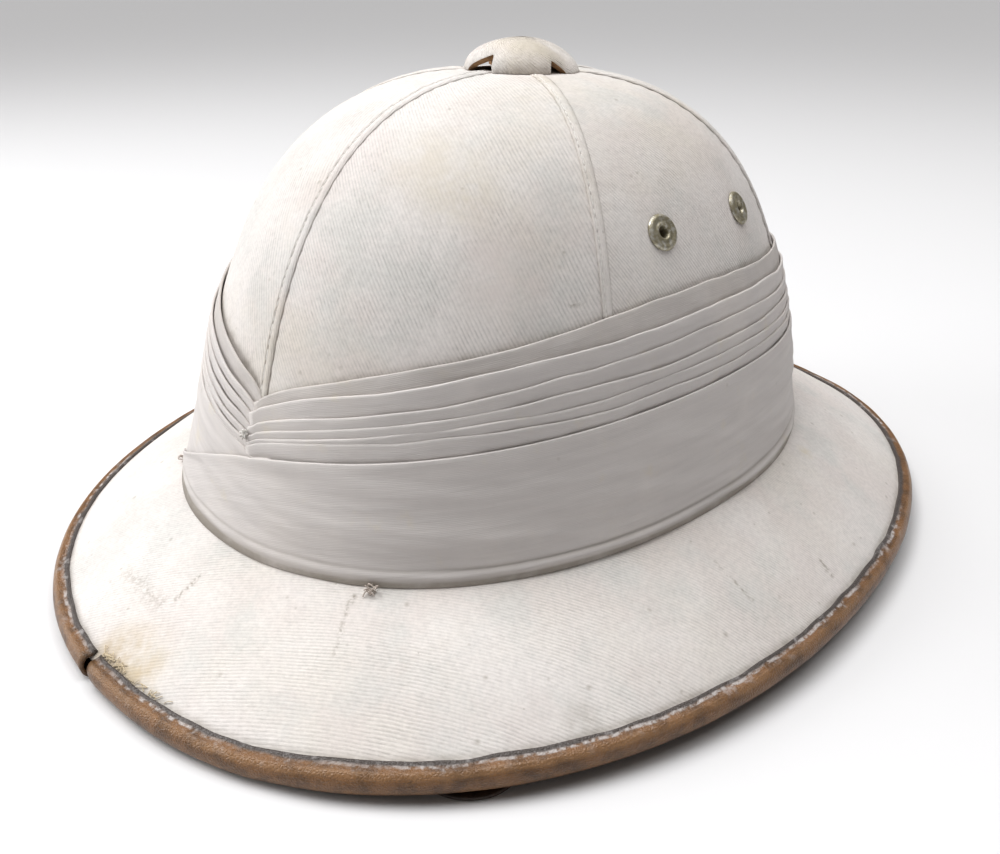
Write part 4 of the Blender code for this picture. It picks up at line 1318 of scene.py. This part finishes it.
CAP_STAINS = (((0.012, -0.006, 0.166), 0.020, YELLOWED, 0.9), ((0.002, -0.004, 0.169), 0.018, YELLOWED, 0.7))
cap_white = make_whitened_cloth(
    "vent_cap_cotton", DRILL_PITCH * 0.7, math.radians(40), stain=0.9, depth=0.00030, groove=0.88,
    specks=0.30, smudges=CAP_STAINS,
)
make_vent_cap(cap_white, make_card_material())


# Eyelets. Two brass eyelets are pressed through cloth and cork on each side to air the crown. The
# brass has tarnished to a greenish grey, and the rim of the hole is still bright.
EYELET_RADIUS = 0.0055
EYELET_HOLE_RADIUS = 0.0018
EYELET_SPIN_STEPS = 48


def make_eyelet(name, azimuth, material):
    """A domed flange and a barrel, turned from one outline."""
    point, normal, _ = wall_frame(azimuth, EYELET_HEIGHT / CROWN_HEIGHT)
    depth = CLOTH + GAP + CORK + 0.0004
    outline = []
    for i in range(9):
        turn = math.pi / 2 * i / 8
        outline.append((EYELET_RADIUS - 0.0012 + 0.0012 * math.cos(turn), 0.00005 + 0.0010 * math.sin(turn)))
    outline += [(0.0036, 0.00082), (0.0029, 0.00076), (0.0026, 0.00104), (0.0022, 0.00104)]
    outline += [(EYELET_HOLE_RADIUS, 0.0007), (EYELET_HOLE_RADIUS, -depth), (0.0030, -depth), (0.0030, 0.00005)]
    bm = bmesh.new()
    verts = [bm.verts.new((radius, 0, height)) for radius, height in outline]
    edges = [bm.edges.new(pair) for pair in zip(verts, verts[1:] + verts[:1])]
    bmesh.ops.spin(
        bm, geom=verts + edges, cent=(0, 0, 0), axis=(0, 0, 1), angle=ROUND,
        steps=EYELET_SPIN_STEPS, use_merge=True,
    )
    bmesh.ops.remove_doubles(bm, verts=bm.verts, dist=1e-6)
    bmesh.ops.recalc_face_normals(bm, faces=bm.faces)
    bm.transform(Matrix.Translation(point) @ normal.to_track_quat("Z", "Y").to_matrix().to_4x4())
    return fit_piece(f"{name}_brass", bm, material, (name,))


def make_eyelet_material():
    material, tree, shader = start_material("tarnished_brass")
    where = add_node(tree, "TexCoord").outputs["Object"]
    dull = patches(tree, where, 0.0030, 0.55, 0.15)
    colour = blend_colours(tree, dull, (0.50, 0.46, 0.35, 1), (0.27, 0.24, 0.16, 1))
    clay = calculate(tree, "MULTIPLY", 0.7, patches(tree, where, 0.0018, 0.44, 0.08))
    colour = blend_colours(tree, clay, colour, (0.60, 0.59, 0.55, 1))
    tree.links.new(colour, shader.inputs["Base Color"])
    rough = add_node(tree, "MapRange", {"Value": dull, "To Min": 0.30, "To Max": 0.55}).outputs["Result"]
    tree.links.new(rough, shader.inputs["Roughness"])
    shader.inputs["Metallic"].default_value = 0.6
    pits = add_node(tree, "TexNoise", {"Vector": where, "Scale": 2200.0, "Detail": 3.0})
    bump = add_node(tree, "Bump", {"Height": pits.outputs["Fac"], "Strength": 0.4, "Distance": 0.0001})
    tree.links.new(bump.outputs["Normal"], shader.inputs["Normal"])
    return material


eyelet_brass = make_eyelet_material()
for eyelet, azimuth in EYELETS.items():
    make_eyelet(eyelet, azimuth, eyelet_brass)


# Chin strap. A narrow dark leather strap is sewn to a tab inside the crown at each side and lies
# loose on the surface under the helmet; a short loop of it has slipped out under the brim.
STRAP_WIDTH = 0.0050
STRAP_THICKNESS = 0.0012
STRAP_HANG_POWER = 1.6
STRAP_HANG_SHARES = (0.25, 0.50, 0.75)
STRAP_STEPS = 6
TAB_WIDTH = 0.0140
TAB_HEIGHT = 0.0100
TAB_THICKNESS = 0.0020
TAB_FOOT_CLEARANCE = 0.0020
STRAP_FLOOR_POINTS = (
    (0.0800, -0.0300),
    (0.0825, -0.0500),
    (0.0890, -0.0800),
    (0.0955, -0.1040),
    (0.0985, -0.1170),
    (0.0980, -0.1270),
    (0.0920, -0.1335),
    (0.0820, -0.1355),
    (0.0640, -0.1335),
    (0.0380, -0.1280),
    (0.0080, -0.1180),
    (-0.0220, -0.1010),
    (-0.0480, -0.0770),
    (-0.0670, -0.0500),
    (-0.0780, -0.0270),
)


def tab_matrix(side):
    """A tab's own frame: its Z looks outwards through the wall, and its Y runs up it."""
    lift = -(CLOTH + GAP + CORK)
    height = foot_corner(math.pi / 2, lift, lift)[1] + TAB_FOOT_CLEARANCE + TAB_HEIGHT / 2
    azimuth = side * math.pi / 2
    share = height / CROWN_HEIGHT
    _, normal, sideways = wall_frame(azimuth, share)
    centre = place(azimuth, crown_line(azimuth, share)) - normal * (PLATE + 2 * GAP + TAB_THICKNESS / 2)
    axes = Matrix((sideways, normal.cross(sideways), normal)).transposed().to_4x4()
    return STAND @ Matrix.Translation(centre) @ axes


def strap_end(side, floor_end):
    """Route points with the flat side's direction, from a tab's top down to the surface."""
    up = Vector((0, 0, 1))
    tab = tab_matrix(side)
    inward = -tab.col[2].xyz
    depth = -(TAB_THICKNESS / 2 + GAP + STRAP_THICKNESS / 2)
    top = tab @ Vector((0, TAB_HEIGHT / 2 - GAP, depth))
    edge = tab @ Vector((0, -TAB_HEIGHT / 2, depth))
    free = tab @ Vector((0, -TAB_HEIGHT / 2 - STRAP_WIDTH, depth))
    landing = Vector((*floor_end, STRAP_THICKNESS / 2))
    route = [(top, inward), (edge, inward), (free, inward)]
    for share in STRAP_HANG_SHARES:
        point = free.lerp(landing, share**STRAP_HANG_POWER)
        point.z = free.z + (landing.z - free.z) * (1 - (1 - share) ** STRAP_HANG_POWER)
        route.append((point, inward.lerp(up, share).normalized()))
    return route


def smooth_value(before, start, end, after, share):
    square = share * share
    cube = square * share
    return (
        start * (2 * cube - 3 * square + 1)
        + (end - before) / 2 * (cube - 2 * square + share)
        + end * (3 * square - 2 * cube)
        + (after - start) / 2 * (cube - square)
    )


def strap_line():
    up = Vector((0, 0, 1))
    rest = STRAP_THICKNESS / 2
    route = strap_end(1, STRAP_FLOOR_POINTS[0])
    route += [(Vector((x, y, rest)), up) for x, y in STRAP_FLOOR_POINTS]
    route += strap_end(-1, STRAP_FLOOR_POINTS[-1])[::-1]
    line = []
    for i in range(len(route) - 1):
        around = [route[max(i - 1, 0)], route[i], route[i + 1], route[min(i + 2, len(route) - 1)]]
        for j in range(STRAP_STEPS):
            point = smooth_value(*(item[0] for item in around), j / STRAP_STEPS)
            point.z = max(point.z, rest)
            line.append((point, around[1][1].lerp(around[2][1], j / STRAP_STEPS)))
    return line + [route[-1]]


def make_strap_material():
    """Dark brown strap leather, mottled by wear."""
    material, tree, shader = start_material("dark_strap_leather")
    where = add_node(tree, "TexCoord").outputs["Object"]
    worn = patches(tree, where, 0.010, 0.45, 0.12)
    colour = blend_colours(tree, worn, (0.030, 0.017, 0.012, 1), (0.060, 0.034, 0.022, 1))
    tree.links.new(colour, shader.inputs["Base Color"])
    grain = use_group(tree, GRAIN, {"Vector": where, "Size": 0.0007})["Height"]
    bump = add_node(tree, "Bump", {"Height": grain, "Strength": 0.5, "Distance": 0.0001})
    tree.links.new(bump.outputs["Normal"], shader.inputs["Normal"])
    shader.inputs["Roughness"].default_value = 0.42
    return material


def strap_outline():
    """A flat section with rounded edges, as shares of half the width and half the thickness."""
    corners = []
    for side in (1, -1):
        for turn in turns_between(-math.pi / 2, math.pi / 2, 4):
            across = side * (1 - 0.14 * (1 - math.cos(turn)))
            corners.append((across, side * math.sin(turn)))
    return corners + corners[:1]


def make_chin_strap(material):
    line = strap_line()
    points = [point for point, _ in line]
    columns = []
    for across, through in strap_outline():
        places = []
        for i, (point, facing) in enumerate(line):
            along = (points[min(i + 1, len(points) - 1)] - points[max(i - 1, 0)]).normalized()
            wide = along.cross(facing).normalized()
            thick = wide.cross(along).normalized()
            places.append(point + wide * across * STRAP_WIDTH / 2 + thick * through * STRAP_THICKNESS / 2)
        columns.append(spots_down(places, across * STRAP_WIDTH / 2))
    bm = lay_grid(columns)
    bmesh.ops.remove_doubles(bm, verts=bm.verts, dist=1e-6)
    bmesh.ops.holes_fill(bm, edges=[edge for edge in bm.edges if edge.is_boundary], sides=0)
    bmesh.ops.recalc_face_normals(bm, faces=bm.faces)
    strap = fit_piece("chin_strap_leather", bm, material, ("chin_strap",), stand=False)


def make_strap_tab(name, side, material):
    """A small leather keeper with softened edges, stitched to the cork."""
    bm = bmesh.new()
    bmesh.ops.create_cube(bm, size=1)
    bm.transform(Matrix.Diagonal((TAB_WIDTH, TAB_HEIGHT, TAB_THICKNESS, 1)))
    bmesh.ops.bevel(
        bm, geom=bm.edges, offset=0.0006, segments=3, profile=0.5, affect="EDGES", material=-1
    )
    bm.transform(tab_matrix(side))
    return fit_piece(f"{name}_leather", bm, material, (name,), stand=False)


strap_leather = make_strap_material()
make_chin_strap(strap_leather)
make_strap_tab("strap_tab_left", 1, strap_leather)
make_strap_tab("strap_tab_right", -1, strap_leather)


# Studio. A white sheet under the helmet, large softboxes in a half ring above it, the strongest on
# its right hand side, a low one on the same side, and a dim room. The camera looks down at the V.
FLOOR_SIZE = 16.0
CAMERA_PLACE = (0.21539, -0.26012, 0.19127)
CAMERA_AZIMUTH = math.radians(40.73)
CAMERA_DIP = math.radians(26.41)
CAMERA_LENS = 34.50
SOFTBOX_SIZE = 0.80
LIGHT_DISTANCE = 1.30
SOFTBOXES = (
    ("low_left", -49, 20, 8.0),
    ("top_left", -49, 68, 5.2),
    ("top_rear", -94, 68, 2.7),
    ("top_right", 131, 68, 2.1),
    ("top_right_rear", 176, 68, 1.8),
)
SKYLIGHT_ANGLE = math.radians(40)
SKYLIGHTS = (("window_left", -62, 68, 1.30), ("window_right", 150, 68, 0.68))


def make_floor():
    bm = bmesh.new()
    bmesh.ops.create_grid(bm, x_segments=2, y_segments=2, size=FLOOR_SIZE / 2)
    mesh = bpy.data.meshes.new("studio_floor")
    bm.to_mesh(mesh)
    bm.free()
    floor = bpy.data.objects.new("studio_floor", mesh)
    bpy.context.scene.collection.objects.link(floor)
    material, tree, shader = start_material("studio_white")
    shader.inputs["Base Color"].default_value = (0.75, 0.75, 0.76, 1)
    shader.inputs["Roughness"].default_value = 0.9
    mesh.materials.append(material)


def aim_light(name, light, azimuth, elevation):
    """Puts a light on a wide ring round the helmet and turns it towards its middle."""
    lamp = bpy.data.objects.new(name, light)
    turn = math.radians(azimuth)
    flat = Vector((math.sin(turn), -math.cos(turn), 0)) * math.cos(math.radians(elevation))
    way = flat + Vector((0, 0, math.sin(math.radians(elevation))))
    lamp.location = way * LIGHT_DISTANCE + Vector((0, 0, 0.05))
    lamp.rotation_euler = (-way).to_track_quat("-Z", "Y").to_euler()
    bpy.context.scene.collection.objects.link(lamp)


def make_softbox(name, azimuth, elevation, power):
    light = bpy.data.lights.new(name, "AREA")
    light.shape = "DISK"
    light.size = SOFTBOX_SIZE
    light.energy = power
    aim_light(name, light, azimuth, elevation)


def make_skylight(name, azimuth, elevation, strength):
    light = bpy.data.lights.new(name, "SUN")
    light.angle = SKYLIGHT_ANGLE
    light.energy = strength
    aim_light(name, light, azimuth, elevation)


make_floor()
for light_name, light_azimuth, light_elevation, light_power in SOFTBOXES:
    make_softbox(light_name, light_azimuth, light_elevation, light_power)
for light_name, light_azimuth, light_elevation, light_strength in SKYLIGHTS:
    make_skylight(light_name, light_azimuth, light_elevation, light_strength)

world = bpy.data.worlds.new("pale_room")
world.use_nodes = True
room = world.node_tree.nodes["Background"]
room.inputs["Color"].default_value = (0.94, 0.87, 0.82, 1)
room.inputs["Strength"].default_value = 0.12
backdrop = add_node(world.node_tree, "Background", {"Color": (0.62, 0.63, 0.65, 1), "Strength": 1.0})
seen = add_node(world.node_tree, "LightPath").outputs["Is Camera Ray"]
shown_room = add_node(world.node_tree, "MixShader", {0: seen, 1: room.outputs[0], 2: backdrop.outputs[0]})
world.node_tree.links.new(shown_room.outputs[0], world.node_tree.nodes["World Output"].inputs["Surface"])
bpy.context.scene.world = world
bpy.context.scene.view_settings.view_transform = "Standard"

camera_data = bpy.data.cameras.new("camera")
camera_data.lens = CAMERA_LENS
camera_data.sensor_width = 36
camera_data.sensor_fit = "HORIZONTAL"
camera_data.clip_start = 0.01
camera_data.clip_end = 50
camera = bpy.data.objects.new("camera", camera_data)
camera.location = CAMERA_PLACE
camera.rotation_euler = (math.pi / 2 - CAMERA_DIP, 0, CAMERA_AZIMUTH)
bpy.context.scene.collection.objects.link(camera)
bpy.context.scene.camera = camera
